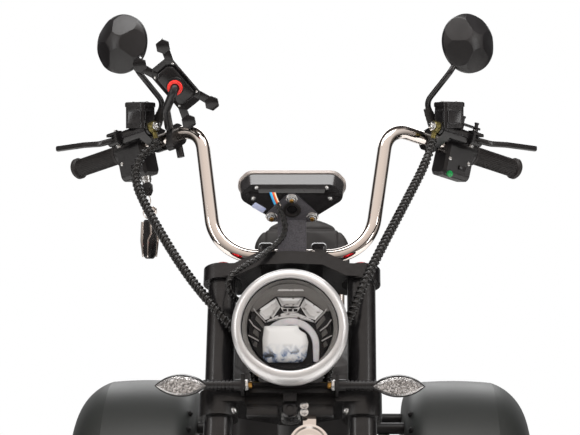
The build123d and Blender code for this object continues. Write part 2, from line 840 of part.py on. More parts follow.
riser_width = 28.0
riser_wall = 12.0
riser_round = 7.0
bar_behind = bar_setback
bar_above = gull_top + riser_height
with BuildPart() as bar_risers:
    with BuildSketch(fork_side_plane(riser_spacing / 2 - riser_width / 2)):
        base = gull_top + seat_gap
        with Locations((bar_behind, bar_above)):
            Circle(bar_radius + riser_wall)
        with Locations((bar_behind, (base + bar_above) / 2)):
            Rectangle(2 * (bar_radius + riser_wall), bar_above - base)
        with Locations((bar_behind, bar_above)):
            Circle(bar_radius + clamp_fit, mode=Mode.SUBTRACT)
        with Locations((bar_behind, base - 20)):
            Rectangle(100, 40, mode=Mode.SUBTRACT)
    extrude(amount=riser_width)
    crown = bar_risers.edges().filter_by(GeomType.CIRCLE).filter_by(
        lambda edge: edge.radius > bar_radius + riser_wall / 2
    )
    fillet(crown, riser_round)
    mirror(about=Plane.YZ)

grip_start = 200.0
grip_flange = 3.5
grip_radius = 17.0
grip_end_cap = 6.0
with BuildPart() as grips:
    with BuildSketch(bar_section(grip_start)):
        Circle(grip_radius)
        Circle(bar_radius + clamp_fit, mode=Mode.SUBTRACT)
    extrude(amount=bar_reach - grip_start + seat_gap)
    with BuildSketch(bar_section(bar_reach + seat_gap)):
        Circle(grip_radius)
    extrude(amount=grip_end_cap)
    for flange_at, flange_width in ((grip_start, 5.0), (bar_reach - 5, 9.0)):
        with BuildSketch(bar_section(flange_at)):
            Circle(grip_radius + grip_flange)
            Circle(grip_radius - 1, mode=Mode.SUBTRACT)
        extrude(amount=flange_width)
    mirror(about=Plane.YZ)

housing_width = 60.0
housing_start = grip_start - 10.0 - housing_width
housing_drop = 46.0
with BuildPart() as switch_housings:
    with BuildSketch(bar_section(housing_start)):
        Circle(bar_radius + 10)
        with Locations((-12, -housing_drop), (12, -housing_drop)):
            Circle(11)
        make_hull()
        Circle(bar_radius + clamp_fit, mode=Mode.SUBTRACT)
    extrude(amount=housing_width)
    chamfer(switch_housings.faces().sort_by(Axis(bar_corner, bar_out))[0].outer_wire().edges(), 5)
    with BuildSketch(bar_section(housing_start + housing_width)):
        Circle(bar_radius + 8)
        Circle(bar_radius + clamp_fit, mode=Mode.SUBTRACT)
    extrude(amount=9)
    mirror(about=Plane.YZ)

clamp_start, clamp_end = 90.0, 110.0
barrel_back, barrel_up = -38.0, 20.0
barrel_radius = 13.0
barrel_start, barrel_end = 84.0, 158.0
tank_along, tank_length, tank_depth = 110.0, 48.0, 40.0
tank_bottom, tank_top = 26.0, 66.0
lid_height = 9.0
level_out = Vector(bar_out.X, bar_out.Y, 0).normalized()
lever_slot = 12.0
mirror_boss_radius = 9.0
mirror_boss_up = 28.0
mirror_root = bar_point((clamp_start + clamp_end) / 2, -4, mirror_boss_up)
with BuildPart() as brake_cylinders:
    with BuildSketch(bar_section(clamp_start)):
        Circle(bar_radius + 8)
        with Locations((barrel_back, barrel_up)):
            Circle(barrel_radius + 2)
        make_hull()
        Circle(bar_radius + clamp_fit, mode=Mode.SUBTRACT)
    extrude(amount=clamp_end - clamp_start)
    with BuildSketch(bar_section(barrel_start)):
        with Locations((barrel_back, barrel_up)):
            Circle(barrel_radius)
    extrude(amount=barrel_end - barrel_start)
    with BuildSketch(Plane(origin=mirror_root, x_dir=bar_out, z_dir=bar_up)):
        Circle(mirror_boss_radius)
    extrude(amount=-14)
    tank_foot = bar_point(tank_along, barrel_back, tank_bottom)
    with BuildSketch(Plane(origin=tank_foot, x_dir=level_out, z_dir=(0, 0, 1))):
        RectangleRounded(tank_length - 3, tank_depth - 3, 6)
    extrude(amount=tank_top - tank_bottom)
    with BuildSketch(Plane(origin=tank_foot, x_dir=level_out, z_dir=(0, 0, 1))):
        Circle(barrel_radius - 2)
    extrude(amount=-12)
    with BuildSketch(
        Plane(origin=tank_foot + Vector(0, 0, tank_top - tank_bottom), x_dir=level_out, z_dir=(0, 0, 1))
    ):
        RectangleRounded(tank_length, tank_depth, 7)
    extrude(amount=lid_height)
    fillet(brake_cylinders.faces().sort_by(Axis.Z)[-1].edges(), 3)
    with BuildSketch(bar_section(barrel_end - 6)):
        with Locations((barrel_back - 6, barrel_up)):
            RectangleRounded(32, 26, 6)
    extrude(amount=24)
    with BuildSketch(bar_section(barrel_end)):
        with Locations((barrel_back - 6, barrel_up)):
            Rectangle(60, lever_slot)
    extrude(amount=40, mode=Mode.SUBTRACT)
    mirror(about=Plane.YZ)

lever_pivot = barrel_end + 6.0
lever_tip = 318.0
lever_rise = 22.0
with BuildPart() as brake_levers:
    with BuildLine() as blade:
        FilletPolyline(
            bar_point(lever_pivot, barrel_back - 4, barrel_up),
            bar_point(lever_pivot + 0.24 * (lever_tip - lever_pivot), barrel_back - 14, barrel_up),
            bar_point(lever_pivot + 0.5 * (lever_tip - lever_pivot), barrel_back - 12, barrel_up + 0.4 * lever_rise),
            bar_point(lever_tip, barrel_back, barrel_up + lever_rise),
            radius=[40.0, 60.0],
        )
    with BuildSketch(Plane(origin=blade.line @ 0, x_dir=bar_up, z_dir=blade.line % 0)):
        RectangleRounded(lever_slot - 1, 11, 4)
    sweep()
    mirror(about=Plane.YZ)

# Mirrors: a bent rod from each brake clamp to a round shell
mirror_centre = mirror_root + Vector(60, -2, 154)
mirror_radius = 56.0
mirror_rim = 8.0
mirror_dome = 26.0
facet_count = 5
facet_lean = 38.0
facet_cut = 4.5
mirror_yaw = 30.0
mirror_pitch = 6.0
rod_radius = 5.5
mirror_away = Vector(
    sin(radians(mirror_yaw)) * cos(radians(mirror_pitch)),
    -cos(radians(mirror_yaw)) * cos(radians(mirror_pitch)),
    sin(radians(mirror_pitch)),
)
mirror_across = Vector(0, 0, 1).cross(mirror_away).normalized()
mirror_plane = Plane(origin=mirror_centre, x_dir=mirror_across, z_dir=mirror_away)
dome_radius = (mirror_radius**2 + mirror_dome**2) / (2 * mirror_dome)
dome_centre = mirror_centre + mirror_away * (mirror_rim + mirror_dome - dome_radius)
facet_planes = [mirror_plane.z_dir]
for facet in range(facet_count):
    turn = radians(90 + 360 * facet / facet_count)
    radial = mirror_plane.x_dir * cos(turn) + mirror_plane.y_dir * sin(turn)
    facet_planes.append(mirror_away * cos(radians(facet_lean)) + radial * sin(radians(facet_lean)))
with BuildPart() as mirror_shells:
    with BuildSketch(mirror_plane):
        Circle(mirror_radius)
    extrude(amount=mirror_rim + 2 * mirror_dome)
    with Locations(dome_centre):
        Sphere(dome_radius, mode=Mode.INTERSECT)
    for facing in facet_planes:
        split(
            bisect_by=Plane(origin=dome_centre + facing * (dome_radius - facet_cut), z_dir=facing),
            keep=Keep.BOTTOM,
        )
    mirror(about=Plane.YZ)

with BuildPart() as mirror_glasses:
    with BuildSketch(mirror_plane.offset(-seat_gap)):
        Circle(mirror_radius - 3)
    extrude(amount=-2)
    mirror(about=Plane.YZ)

with BuildPart() as mirror_stems:
    rod_root = mirror_root + bar_up * 6
    rim_down = (mirror_plane.x_dir * -0.62 + mirror_plane.y_dir * -0.785).normalized()
    rim_point = mirror_centre + mirror_away * (mirror_rim / 2)
    rod = swept_tube(
        [
            rod_root,
            mirror_root + Vector(-16, -6, 44),
            rim_point + rim_down * (mirror_radius + seat_gap + 14),
            rim_point + rim_down * (mirror_radius + seat_gap),
        ],
        [24.0, 12.0],
        rod_radius,
    )
    add(rod)
    with BuildSketch(Plane(origin=mirror_root + bar_up * seat_gap, x_dir=bar_out, z_dir=bar_up)):
        RegularPolygon(mirror_boss_radius - 0.5, 6)
    extrude(amount=13)
    mirror(about=Plane.YZ)

# Headlamp: rim ring, clear lens, lamp modules and bowl on one axis
lamp_forward = 111.35
lamp_rise = 90.9
lamp_centre = fork_point(0, -lamp_forward, lower_clamp_height + lamp_rise)
lamp_tilt = 8.0
lamp_ring_radius = 98.5
lamp_ring_width = 16.5
lamp_ring_depth = 24.0
bowl_wall = 4.0
bowl_depth = 116.0
lamp_out = Vector(0, -cos(radians(lamp_tilt)), sin(radians(lamp_tilt)))
lamp_axis = Axis(lamp_centre, lamp_out)
lamp_radial = Plane(origin=lamp_centre, x_dir=(1, 0, 0), z_dir=Vector(1, 0, 0).cross(lamp_out))
lens_radius = lamp_ring_radius - lamp_ring_width - seat_gap
module_depth = 52.0
module_radius = 88.0


def lamp_plane(depth):
    """The plane square to the headlamp's axis at a depth behind its front: x across, y up."""
    return Plane(origin=lamp_centre - lamp_out * depth, x_dir=(1, 0, 0), z_dir=lamp_out)


with BuildPart() as headlamp_ring:
    with BuildSketch(lamp_radial):
        with Locations((lamp_ring_radius - lamp_ring_width / 2, -lamp_ring_depth / 2)):
            RectangleRounded(lamp_ring_width, lamp_ring_depth, 7)
    revolve(axis=lamp_axis)

lens_crown = 14.0
lens_thickness = 3.0
lens_sphere = (lens_radius**2 + lens_crown**2) / (2 * lens_crown)
with BuildPart() as headlamp_lens:
    with BuildSketch(lamp_plane(lens_crown + lens_thickness)):
        Circle(lens_radius)
    extrude(amount=2 * lens_crown + lens_thickness)
    with Locations(lamp_centre - lamp_out * lens_sphere):
        Sphere(lens_sphere, mode=Mode.INTERSECT)
    with Locations(lamp_centre - lamp_out * (lens_sphere + lens_thickness)):
        Sphere(lens_sphere, mode=Mode.SUBTRACT)

bowl_curve = [(96, 24.3), (96, 42), (88, 76), (62, 108), (0, bowl_depth)]


def bowl_profile(grow):
    with BuildSketch() as profile:
        with BuildLine():
            edge = [(r + grow, -d - (grow if d == bowl_depth else 0)) for r, d in bowl_curve[:-1]]
            tail = -bowl_depth - grow
            Polyline((0, edge[0][1]), *edge, (46 + grow, tail), (0, tail), close=True)
        make_face()
    return profile.sketch


with BuildPart() as headlamp_bowl:
    with BuildSketch(lamp_radial):
        add(bowl_profile(0))
    revolve(axis=lamp_axis)
    with BuildSketch(lamp_radial):
        add(bowl_profile(-bowl_wall))
    revolve(axis=lamp_axis, mode=Mode.SUBTRACT)
    gland_x = -30.0
    with BuildSketch(lamp_plane(bowl_depth - 1)):
        with Locations((gland_x, 10)):
            Circle(8)
    extrude(amount=-9)

guide_width = 11.0
fin_height = 14.0
with BuildPart() as headlamp_modules:
    with BuildSketch(lamp_plane(module_depth)):
        Circle(module_radius)
    extrude(amount=-4)
    # Bezel and the roof over the three reflectors
    with BuildSketch(lamp_plane(module_depth)):
        Circle(module_radius)
        Circle(module_radius - 8, mode=Mode.SUBTRACT)
        with BuildLine():
            Line((-66, 46), (66, 46))
            ThreePointArc((66, 46), (0, module_radius - 7), (-66, 46))
        make_face()
        with BuildLine():
            Polyline((-62, 30), (-26, 56), (26, 56), (62, 30), close=True)
        make_face(mode=Mode.SUBTRACT)
    extrude(amount=24)
    # Reflector cells
    for cell, lean in ((-1, 38.0), (0, 0.0), (1, -38.0)):
        with BuildSketch(lamp_plane(module_depth)):
            with Locations((cell * 40, 44 - 13 * abs(cell))):
                RectangleRounded(36, 22, 3, rotation=lean)
        extrude(amount=16)
        with BuildSketch(lamp_plane(module_depth - 16)):
            with Locations((cell * 40, 44 - 13 * abs(cell))):
                RectangleRounded(33, 19, 2, rotation=lean)
        extrude(amount=-12, taper=22, mode=Mode.SUBTRACT)
    # Light guide and the main lens block
    with BuildSketch(lamp_plane(module_depth)):
        with Locations((0, -30)):
            RectangleRounded(2 * 51, 92, 40)
            RectangleRounded(2 * 51 - 2 * guide_width, 92 - 2 * guide_width, 40 - guide_width, mode=Mode.SUBTRACT)
        with Locations((0, -72)):
            Rectangle(2 * 60, 30, mode=Mode.SUBTRACT)
    extrude(amount=20)
    with BuildSketch(lamp_plane(module_depth)):
        with Locations((-4, -27)):
            RectangleRounded(64, 58, 12)
    extrude(amount=27)
    fillet(headlamp_modules.faces().sort_by(lamp_axis)[-1].edges(), 6)
    # Cooling fins each side
    with BuildSketch(lamp_plane(module_depth)):
        for side in (-1, 1):
            for px, py, turn in ((61, 16, 52), (68, -4, 36), (70, -24, 20)):
                with Locations((side * px, py)):
                    Rectangle(22, 2.4, rotation=side * turn)
    extrude(amount=fin_height)

# Headlamp bracket on the lower clamp, with an ear for each indicator
bracket_base = lower_clamp_height + clamp_web / 2 + seat_gap
signal_back = -50.0
signal_drop = 2.0
signal_up = bracket_base - signal_drop
ear_x = 82.0
ear_thickness = 5.0
with BuildPart() as lamp_bracket:
    with BuildSketch(fork_plane(bracket_base)):
        with Locations((0, -25)):
            Rectangle(2 * ear_x, 38)
    extrude(amount=5)
    with BuildSketch(fork_side_plane(ear_x - ear_thickness)):
        with Locations((signal_back, signal_up)):
            RectangleRounded(30, 34, 8)
    extrude(amount=ear_thickness)
    with BuildSketch(fork_side_plane(-ear_x)):
        with Locations((signal_back, signal_up)):
            RectangleRounded(30, 34, 8)
    extrude(amount=ear_thickness)
    with BuildSketch(fork_plane(bracket_base)):
        with Locations((0, -22)):
            RectangleRounded(46, 34, 6)
    extrude(amount=90)
    with BuildSketch(lamp_radial):
        add(bowl_profile(seat_gap))
    revolve(axis=lamp_axis, mode=Mode.SUBTRACT)
    with BuildSketch(lamp_plane(bowl_depth)):
        Rectangle(400, 400)
    extrude(amount=-200, mode=Mode.SUBTRACT)

# Indicators: a ribbed rubber stem and a leaf-shaped lamp each side
signal_start = ear_x + seat_gap
signal_leaf = 138.0
signal_tip = 227.0
signal_half_height = 18.0
signal_axis = Axis(fork_point(0, signal_back, signal_up), (1, 0, 0))
signal_front = Plane(
    origin=fork_point(0, signal_back, signal_up), x_dir=(1, 0, 0), z_dir=(0, -1, 0)
)


def leaf(inset):
    with BuildSketch() as outline:
        with BuildLine():
            ends = [(signal_leaf + inset, 0), (signal_tip - inset, 0)]
            middle = (signal_leaf + signal_tip) / 2 - 6
            ThreePointArc(ends[0], (middle, signal_half_height - inset), ends[1])
            ThreePointArc(ends[1], (middle, inset - signal_half_height), ends[0])
        make_face()
    return outline.sketch


with BuildPart() as indicators:
    with BuildSketch(signal_front):
        add(leaf(0))
    extrude(amount=16)
    with BuildSketch(signal_front):
        add(leaf(0))
    extrude(amount=-18, taper=24)
    with BuildSketch(Plane(origin=signal_front.origin, x_dir=(1, 0, 0), z_dir=(0, -1, 0))):
        with BuildLine():
            rib_pitch = (signal_leaf + 8 - signal_start - 12) / 8
            outline = [(signal_start, 0), (signal_start, 10), (signal_start + 12, 10)]
            for rib in range(8):
                near = signal_start + 12 + rib * rib_pitch
                outline += [(near, 6.5), (near + rib_pitch * 0.4, 6.5)]
                outline += [(near + rib_pitch * 0.4, 8.5), (near + rib_pitch, 8.5)]
            outline += [(signal_leaf + 8, 0)]
            Polyline(*outline, close=True)
        make_face()
    revolve(axis=signal_axis)
    mirror(about=Plane.YZ)

with BuildPart() as indicator_lenses:
    with BuildSketch(signal_front.offset(16 + seat_gap)):
        add(leaf(2))
    extrude(amount=7, taper=30)
    mirror(about=Plane.YZ)

# Horn under the lower clamp
horn_x = 33.0
horn_drop = 90.0
horn_up = lower_clamp_height - horn_drop
horn_radius = 32.0
with BuildPart() as horn:
    with BuildSketch(fork_front_plane(-12)):
        with Locations((horn_x, horn_up)):
            Circle(horn_radius)
    extrude(amount=30)
    fillet(horn.faces().sort_by(Axis.Y)[0].edges(), 8)
    with BuildSketch(fork_front_plane(-12)):
        with Locations((horn_x, (horn_up + lower_clamp_height - clamp_web / 2 - seat_gap) / 2)):
            Rectangle(22, lower_clamp_height - clamp_web / 2 - seat_gap - horn_up)
    extrude(amount=-5)

# Dash: a shallow tray facing the rider, carried on a bent bracket from the upper clamp
dash_forward = 72.3
dash_lift = 85.9
dash_lean = 55.0
dash_half_height = 40.0
dash_corner = 24.0
dash_panel = 3.0
dash_depth = 26.0
dash_rise = Vector(0, -cos(radians(dash_lean)), sin(radians(dash_lean)))
dash_plane = Plane(
    origin=fork_point(0, -dash_forward, gull_top + dash_lift),
    x_dir=(1, 0, 0),
    z_dir=Vector(1, 0, 0).cross(dash_rise),
)


def dash_outline(inset, corner):
    right = [
        (78 - inset, dash_half_height - inset),
        (105 - inset, 8),
        (50 - inset, inset - dash_half_height),
    ]
    with BuildSketch() as outline:
        with BuildLine():
            Polyline(*right, *[(-px, py) for px, py in reversed(right)], close=True)
        make_face()
        fillet(outline.vertices(), corner)
    return outline.sketch


with BuildPart() as dash_housing:
    with BuildSketch(dash_plane):
        add(dash_outline(6, dash_corner - 6))
    with BuildSketch(dash_plane.offset(-dash_depth)):
        add(dash_outline(2, dash_corner - 2))
    loft()
    with BuildSketch(dash_plane):
        add(dash_outline(15, dash_corner - 14))
        with Locations((0, 16 + dash_half_height)):
            Rectangle(240, 2 * dash_half_height, mode=Mode.SUBTRACT)
    extrude(amount=dash_panel)
    with BuildSketch(dash_plane):
        with Locations((-67, 6), (67, 6)):
            Circle(5)
    extrude(amount=dash_panel)

with BuildPart() as dash_rim:
    with BuildSketch(dash_plane.offset(-dash_depth - seat_gap)):
        add(dash_outline(0, dash_corner))
        add(dash_outline(9, dash_corner - 9), mode=Mode.SUBTRACT)
    extrude(amount=-8)

with BuildPart() as dash_glass:
    with BuildSketch(dash_plane.offset(-dash_depth - seat_gap)):
        add(dash_outline(9 + seat_gap, dash_corner - 9))
    extrude(amount=-6)

dash_leg_width = 51.0
stud_half, stud_top, stud_low = 35.6, 8.0, -31.5
stud_boss = 11.0
grommet_radius = 14.0
plate = 3.0
leg_top = dash_plane.origin - dash_rise * dash_half_height
leg_y = leg_top.Y - front_axle_y
leg_low = front_radius + (gull_top - leg_y * tan_up.Y) / tan_up.Z - 4
with BuildPart() as dash_bracket:
    with BuildSketch(dash_plane.offset(dash_panel + seat_gap)):
        with Locations((0, stud_top), (-stud_half, stud_low), (stud_half, stud_low)):
            Circle(stud_boss)
        make_hull()
        with Locations((0, -16)):
            Circle(grommet_radius, mode=Mode.SUBTRACT)
        with Locations((0, -dash_half_height)):
            Rectangle(dash_leg_width, 8)
    extrude(amount=plate)
    leg_foot = fork_plane(gull_top + seat_gap)
    with BuildSketch(Plane(origin=at(0, leg_y - plate, 0), x_dir=(1, 0, 0), z_dir=(0, -1, 0))):
        with Locations((0, (leg_top.Z + leg_low) / 2)):
            Rectangle(dash_leg_width, leg_top.Z - leg_low + 4)
    extrude(amount=plate)
    with BuildSketch(leg_foot):
        with Locations((0, -18)):
            Rectangle(dash_leg_width, 36)
    extrude(amount=4)
    with BuildSketch(leg_foot):
        Rectangle(4 * dash_leg_width, 400)
    extrude(amount=-60, mode=Mode.SUBTRACT)

# Phone cradle on the right-hand bar, drawn on the left and mirrored across
cradle_centre = bar_corner + Vector(43, -32, 76)
cradle_turn = 39.0
cradle_pitch = 18.0
cradle_away = Vector(0, -cos(radians(cradle_pitch)), -sin(radians(cradle_pitch)))
cradle_flat = Vector(0, -sin(radians(cradle_pitch)), cos(radians(cradle_pitch)))
cradle_long = cradle_flat * cos(radians(cradle_turn)) + Vector(1, 0, 0) * sin(radians(cradle_turn))
cradle_plane = Plane(
    origin=cradle_centre, x_dir=cradle_long.cross(cradle_away), z_dir=cradle_away
)
claw_x, claw_y = 28.0, 68.0
cradle_width, cradle_length = 52.0, 100.0
pad_size = 12.0
with BuildPart() as cradle_half:
    with BuildSketch(cradle_plane) as body:
        Rectangle(cradle_width, cradle_length)
        chamfer(body.vertices(), 12)
    extrude(amount=-8)
    with BuildSketch(cradle_plane):
        RectangleRounded(cradle_width - 18, cradle_length - 34, 6)
    extrude(amount=5, taper=30)
    with BuildSketch(cradle_plane.offset(-1)):
        for corner_x, corner_y in ((1, 1), (1, -1), (-1, 1), (-1, -1)):
            with BuildLine():
                Polyline(
                    (corner_x * (cradle_width / 2 - 3), corner_y * 34),
                    (corner_x * (claw_x + 5), corner_y * claw_y),
                    (corner_x * (claw_x - 5), corner_y * claw_y),
                    (corner_x * (cradle_width / 2 - 13), corner_y * 34),
                    close=True,
                )
            make_face()
    extrude(amount=-6)
    with BuildSketch(cradle_plane):
        for corner_x in (-claw_x, claw_x):
            for corner_y in (-claw_y, claw_y):
                with Locations((corner_x, corner_y)):
                    RegularPolygon(pad_size, 6, rotation=30)
    extrude(amount=-8)
    with BuildSketch(cradle_plane):
        for corner_x in (-claw_x, claw_x):
            for corner_y in (-1, 1):
                with Locations((corner_x, corner_y * (claw_y + 5))):
                    Rectangle(12, 8)
    extrude(amount=-24)
    with BuildSketch(cradle_plane):
        Circle(17)
    extrude(amount=9)

with BuildPart() as phone_cradle:
    mirror(cradle_half.part, about=Plane.YZ)

phone_start, phone_end = 51.0, 66.0
with BuildPart() as clamp_half:
    with BuildSketch(bar_section(phone_start)):
        Circle(bar_radius + 8)
        with Locations((-20, -20)):
            Circle(9)
        make_hull()
        Circle(bar_radius + clamp_fit, mode=Mode.SUBTRACT)
    extrude(amount=phone_end - phone_start)
    ball = cradle_centre + cradle_away * (9 + seat_gap)
    arm = swept_tube(
        [
            bar_point((phone_start + phone_end) / 2, -18, 14),
            cradle_centre + cradle_plane.x_dir * 44 - cradle_plane.y_dir * 24 + cradle_away * 6,
            ball + cradle_away * 21,
            ball,
        ],
        [14.0, 9.0],
        8.0,
    )
    add(arm)
    with BuildSketch(
        Plane(origin=bar_point((phone_start + phone_end) / 2, 0, -bar_radius - 4), z_dir=-bar_up)
    ):
        Circle(7)
    extrude(amount=26)
    with BuildSketch(Plane(origin=ball, z_dir=cradle_away)):
        Circle(15)
    extrude(amount=9)

with BuildPart() as phone_clamp:
    mirror(clamp_half.part, about=Plane.YZ)

# Brake hoses in spiral wrap, from each cylinder to a union block on the lower clamp
hose_radius = 8.0
union_x, union_back = 62.0, 15.0
union_height = 24.0
banjo_width = 10.0
banjo_drop = 22.0
banjo_along = barrel_start - seat_gap - banjo_width / 2
with BuildPart() as hose_fittings:
    with BuildSketch(fork_plane(bracket_base)):
        with Locations((union_x, union_back), (-union_x, union_back)):
            RectangleRounded(26, 26, 3)
    extrude(amount=union_height)
    for side in (-1, 1):
        middle = bar_point(banjo_along, barrel_back, barrel_up)
        lower = bar_point(banjo_along, barrel_back, barrel_up - banjo_drop)
        along = bar_out * banjo_width
        if side < 0:
            middle, lower, along = opposite(middle), opposite(lower), opposite(along)
        with BuildSketch(Plane(origin=middle - along * 0.5, z_dir=along)):
            Circle(11)
        extrude(amount=banjo_width)
        with BuildSketch(Plane(origin=middle, z_dir=lower - middle)):
            Circle(4.8)
        extrude(amount=banjo_drop)

union_top = bracket_base + union_height + seat_gap
hose_root = bar_point(banjo_along, barrel_back, barrel_up - banjo_drop - seat_gap)
hose_turn = bar_point(banjo_along, barrel_back, barrel_up - banjo_drop - 14)
hose_foot = fork_point(union_x, union_back, union_top + 24)
right_bows = [(0.062, 42, -1, -20), (0.295, 52, -18, -15), (0.581, 43, -39, 2), (0.804, 24, -63, 26)]
left_bows = [(0.096, 4, -5, 1), (0.219, 5, -16, 7), (0.663, 7, -70, 38), (0.821, 9, -61, 33)]
hose_bends = [16.0, 40.0, 90.0, 60.0, 30.0, 20.0, 20.0]


def hose_route(side, bows):
    """A brake hose on one side: stations along the way down, each with its bow from the straight."""
    span = hose_foot - hose_turn
    stations = [hose_turn + span * share + Vector(x, y, z) for share, x, y, z in bows]
    dip = fork_point(union_x + 22, union_back - 30, union_top + 70)
    ends = [hose_foot, fork_point(union_x, union_back, union_top)]
    route = [hose_root, hose_turn, *stations, dip, *ends]
    return route if side > 0 else [opposite(point) for point in route]


brake_hose_right = swept_tube(hose_route(-1, right_bows), hose_bends, hose_radius)
brake_hose_left = swept_tube(hose_route(1, left_bows), hose_bends, hose_radius)

# Dash lead from the back of the dash to the gland of the headlamp bowl
lead_radius = 4.0
gland = lamp_plane(bowl_depth + 8 + seat_gap)
gland_end = gland.origin + gland.x_dir * gland_x + gland.y_dir * 10
lead_root = dash_plane.origin + dash_plane.x_dir * -34 + dash_rise * 22
lead_start = lead_root + dash_plane.z_dir * 14
lead_foot = gland_end - lamp_out * 16
lead_bows = [(0.27, 29, 23, 1), (0.43, -4, 0, 0), (0.589, -78, -58, -4), (0.738, -75, -57, -4), (0.89, -34, -2, -1)]
lead_stations = [lead_start + (lead_foot - lead_start) * share + Vector(x, y, z) for share, x, y, z in lead_bows]
dash_lead = swept_tube(
    [lead_root + dash_plane.z_dir * seat_gap, lead_start, *lead_stations, lead_foot, gland_end],
    [8.0, 24.0, 24.0, 18.0, 18.0, 12.0, 8.0],
    lead_radius,
)

with BuildPart() as rear_tyre_right:
    mirror(rear_tyre_left, about=Plane.YZ)

with BuildPart() as rear_rim_right:
    mirror(rear_rim_left, about=Plane.YZ)

with BuildPart() as rear_fender_right:
    mirror(rear_fender_left.part, about=Plane.YZ)

pieces = {
    "front_tyre": front_tyre,
    "front_rim": front_rim,
    "front_disc": front_disc.part,
    "rear_tyre_left": rear_tyre_left,
    "rear_rim_left": rear_rim_left,
    "rear_tyre_right": rear_tyre_right.part,
    "rear_rim_right": rear_rim_right.part,
    "rear_axle": rear_axle.part,
    "trailing_arms": trailing_arms.part,
    "frame_spine": frame_spine.part,
    "deck_bearers": deck_bearers.part,
    "footboard": footboard.part,
    "floor_mats": floor_mats.part,
    "rear_frame": rear_frame.part,
    "rear_fender_left": rear_fender_left.part,
    "rear_fender_right": rear_fender_right.part,
    "tail_lamps": tail_lamps.part,
    "rear_shocks": rear_shocks.part,
    "seat_box": seat_box.part,
    "seat_pan": seat_pan.part,
    "seat_cushion": seat_cushion.part,
    "backrest_hoop": backrest_hoop,
    "backrest_pad": backrest_pad.part,
    "lower_clamp": lower_clamp.part,
    "upper_clamp": upper_clamp.part,
    "steering_stem": steering_stem.part,
    "fork_tubes": fork_tubes.part,
    "fork_caps": fork_caps.part,
    "fork_sliders": fork_sliders.part,
    "front_axle": front_axle.part,
    "front_fender": front_fender.part,
    "front_fender_stays": front_fender_stays.part,
    "front_caliper": front_caliper.part,
    "handlebar": handlebar,
    "bar_risers": bar_risers.part,
    "grips": grips.part,
    "switch_housings": switch_housings.part,
    "brake_cylinders": brake_cylinders.part,
    "brake_levers": brake_levers.part,
    "mirror_shells": mirror_shells.part,
    "mirror_glasses": mirror_glasses.part,
    "mirror_stems": mirror_stems.part,
    "headlamp_ring": headlamp_ring.part,
    "headlamp_lens": headlamp_lens.part,
    "headlamp_bowl": headlamp_bowl.part,
    "headlamp_modules": headlamp_modules.part,
    "lamp_bracket": lamp_bracket.part,
    "indicators": indicators.part,
    "indicator_lenses": indicator_lenses.part,
    "horn": horn.part,
    "dash_housing": dash_housing.part,
    "dash_rim": dash_rim.part,
    "dash_glass": dash_glass.part,
    "dash_bracket": dash_bracket.part,
    "phone_cradle": phone_cradle.part,
    "phone_clamp": phone_clamp.part,
    "hose_fittings": hose_fittings.part,
    "brake_hose_left": brake_hose_left,
    "brake_hose_right": brake_hose_right,
    "dash_lead": dash_lead,
}

os.makedirs("parts", exist_ok=True)
for name, piece in pieces.items():
    piece.label = name
    export_step(piece, f"parts/{name}.step")
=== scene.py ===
from math import atan2, cos, hypot, pi, radians, sin

import bpy
from mathutils import Matrix, Vector


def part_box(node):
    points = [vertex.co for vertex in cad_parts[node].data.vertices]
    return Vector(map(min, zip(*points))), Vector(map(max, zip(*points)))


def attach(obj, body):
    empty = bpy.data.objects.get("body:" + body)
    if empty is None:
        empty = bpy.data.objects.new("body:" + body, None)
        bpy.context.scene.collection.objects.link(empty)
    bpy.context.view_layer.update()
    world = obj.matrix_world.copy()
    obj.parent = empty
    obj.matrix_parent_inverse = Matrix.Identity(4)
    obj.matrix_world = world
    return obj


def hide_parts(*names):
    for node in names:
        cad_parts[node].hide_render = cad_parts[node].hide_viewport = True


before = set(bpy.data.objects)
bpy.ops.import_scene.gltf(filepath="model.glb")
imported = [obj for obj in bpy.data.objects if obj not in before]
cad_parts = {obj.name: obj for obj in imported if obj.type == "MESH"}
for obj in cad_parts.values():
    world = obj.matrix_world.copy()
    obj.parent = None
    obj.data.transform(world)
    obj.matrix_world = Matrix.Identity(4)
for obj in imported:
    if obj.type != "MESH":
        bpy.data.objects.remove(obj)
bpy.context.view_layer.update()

# The studio: a round floor of pale paper, and a white room seen only by the camera. What the metal
# mirrors is a warm grey room with white sides and dark flags behind, lit by soft boxes all round.


def add_node(tree, kind, inputs={}, **settings):
    """Adds a shader node with its settings. An input takes a value, or the socket it is linked to."""
    made = tree.nodes.new("ShaderNode" + kind)
    for name, value in settings.items():
        setattr(made, name, value)
    for name, value in inputs.items():
        if isinstance(value, bpy.types.NodeSocket):
            tree.links.new(value, made.inputs[name])
        else:
            made.inputs[name].default_value = value
    return made


def linear(code):
    """The linear colour of an sRGB hex value."""
    parts = [int(code[i : i + 2], 16) / 255 for i in (1, 3, 5)]
    return [p / 12.92 if p <= 0.04045 else ((p + 0.055) / 1.055) ** 2.4 for p in parts] + [1.0]


def new_tree(name):
    """A new material of that name, and its empty node tree."""
    made = bpy.data.materials.new(name)
    made.use_nodes = True
    made.node_tree.nodes.clear()
    return made, made.node_tree


def set_stops(ramp, stops):
    """Sets a colour ramp's stops from pairs of place and sRGB hex value."""
    while len(ramp.color_ramp.elements) < len(stops):
        ramp.color_ramp.elements.new(1.0)
    for element, (place, code) in zip(ramp.color_ramp.elements, stops):
        element.position = place
        element.color = linear(code)


def give_surface(tree, inputs):
    """Ends a material's tree with the principled shader and its output."""
    shader = add_node(tree, "BsdfPrincipled", inputs)
    add_node(tree, "OutputMaterial", {"Surface": shader.outputs["BSDF"]})


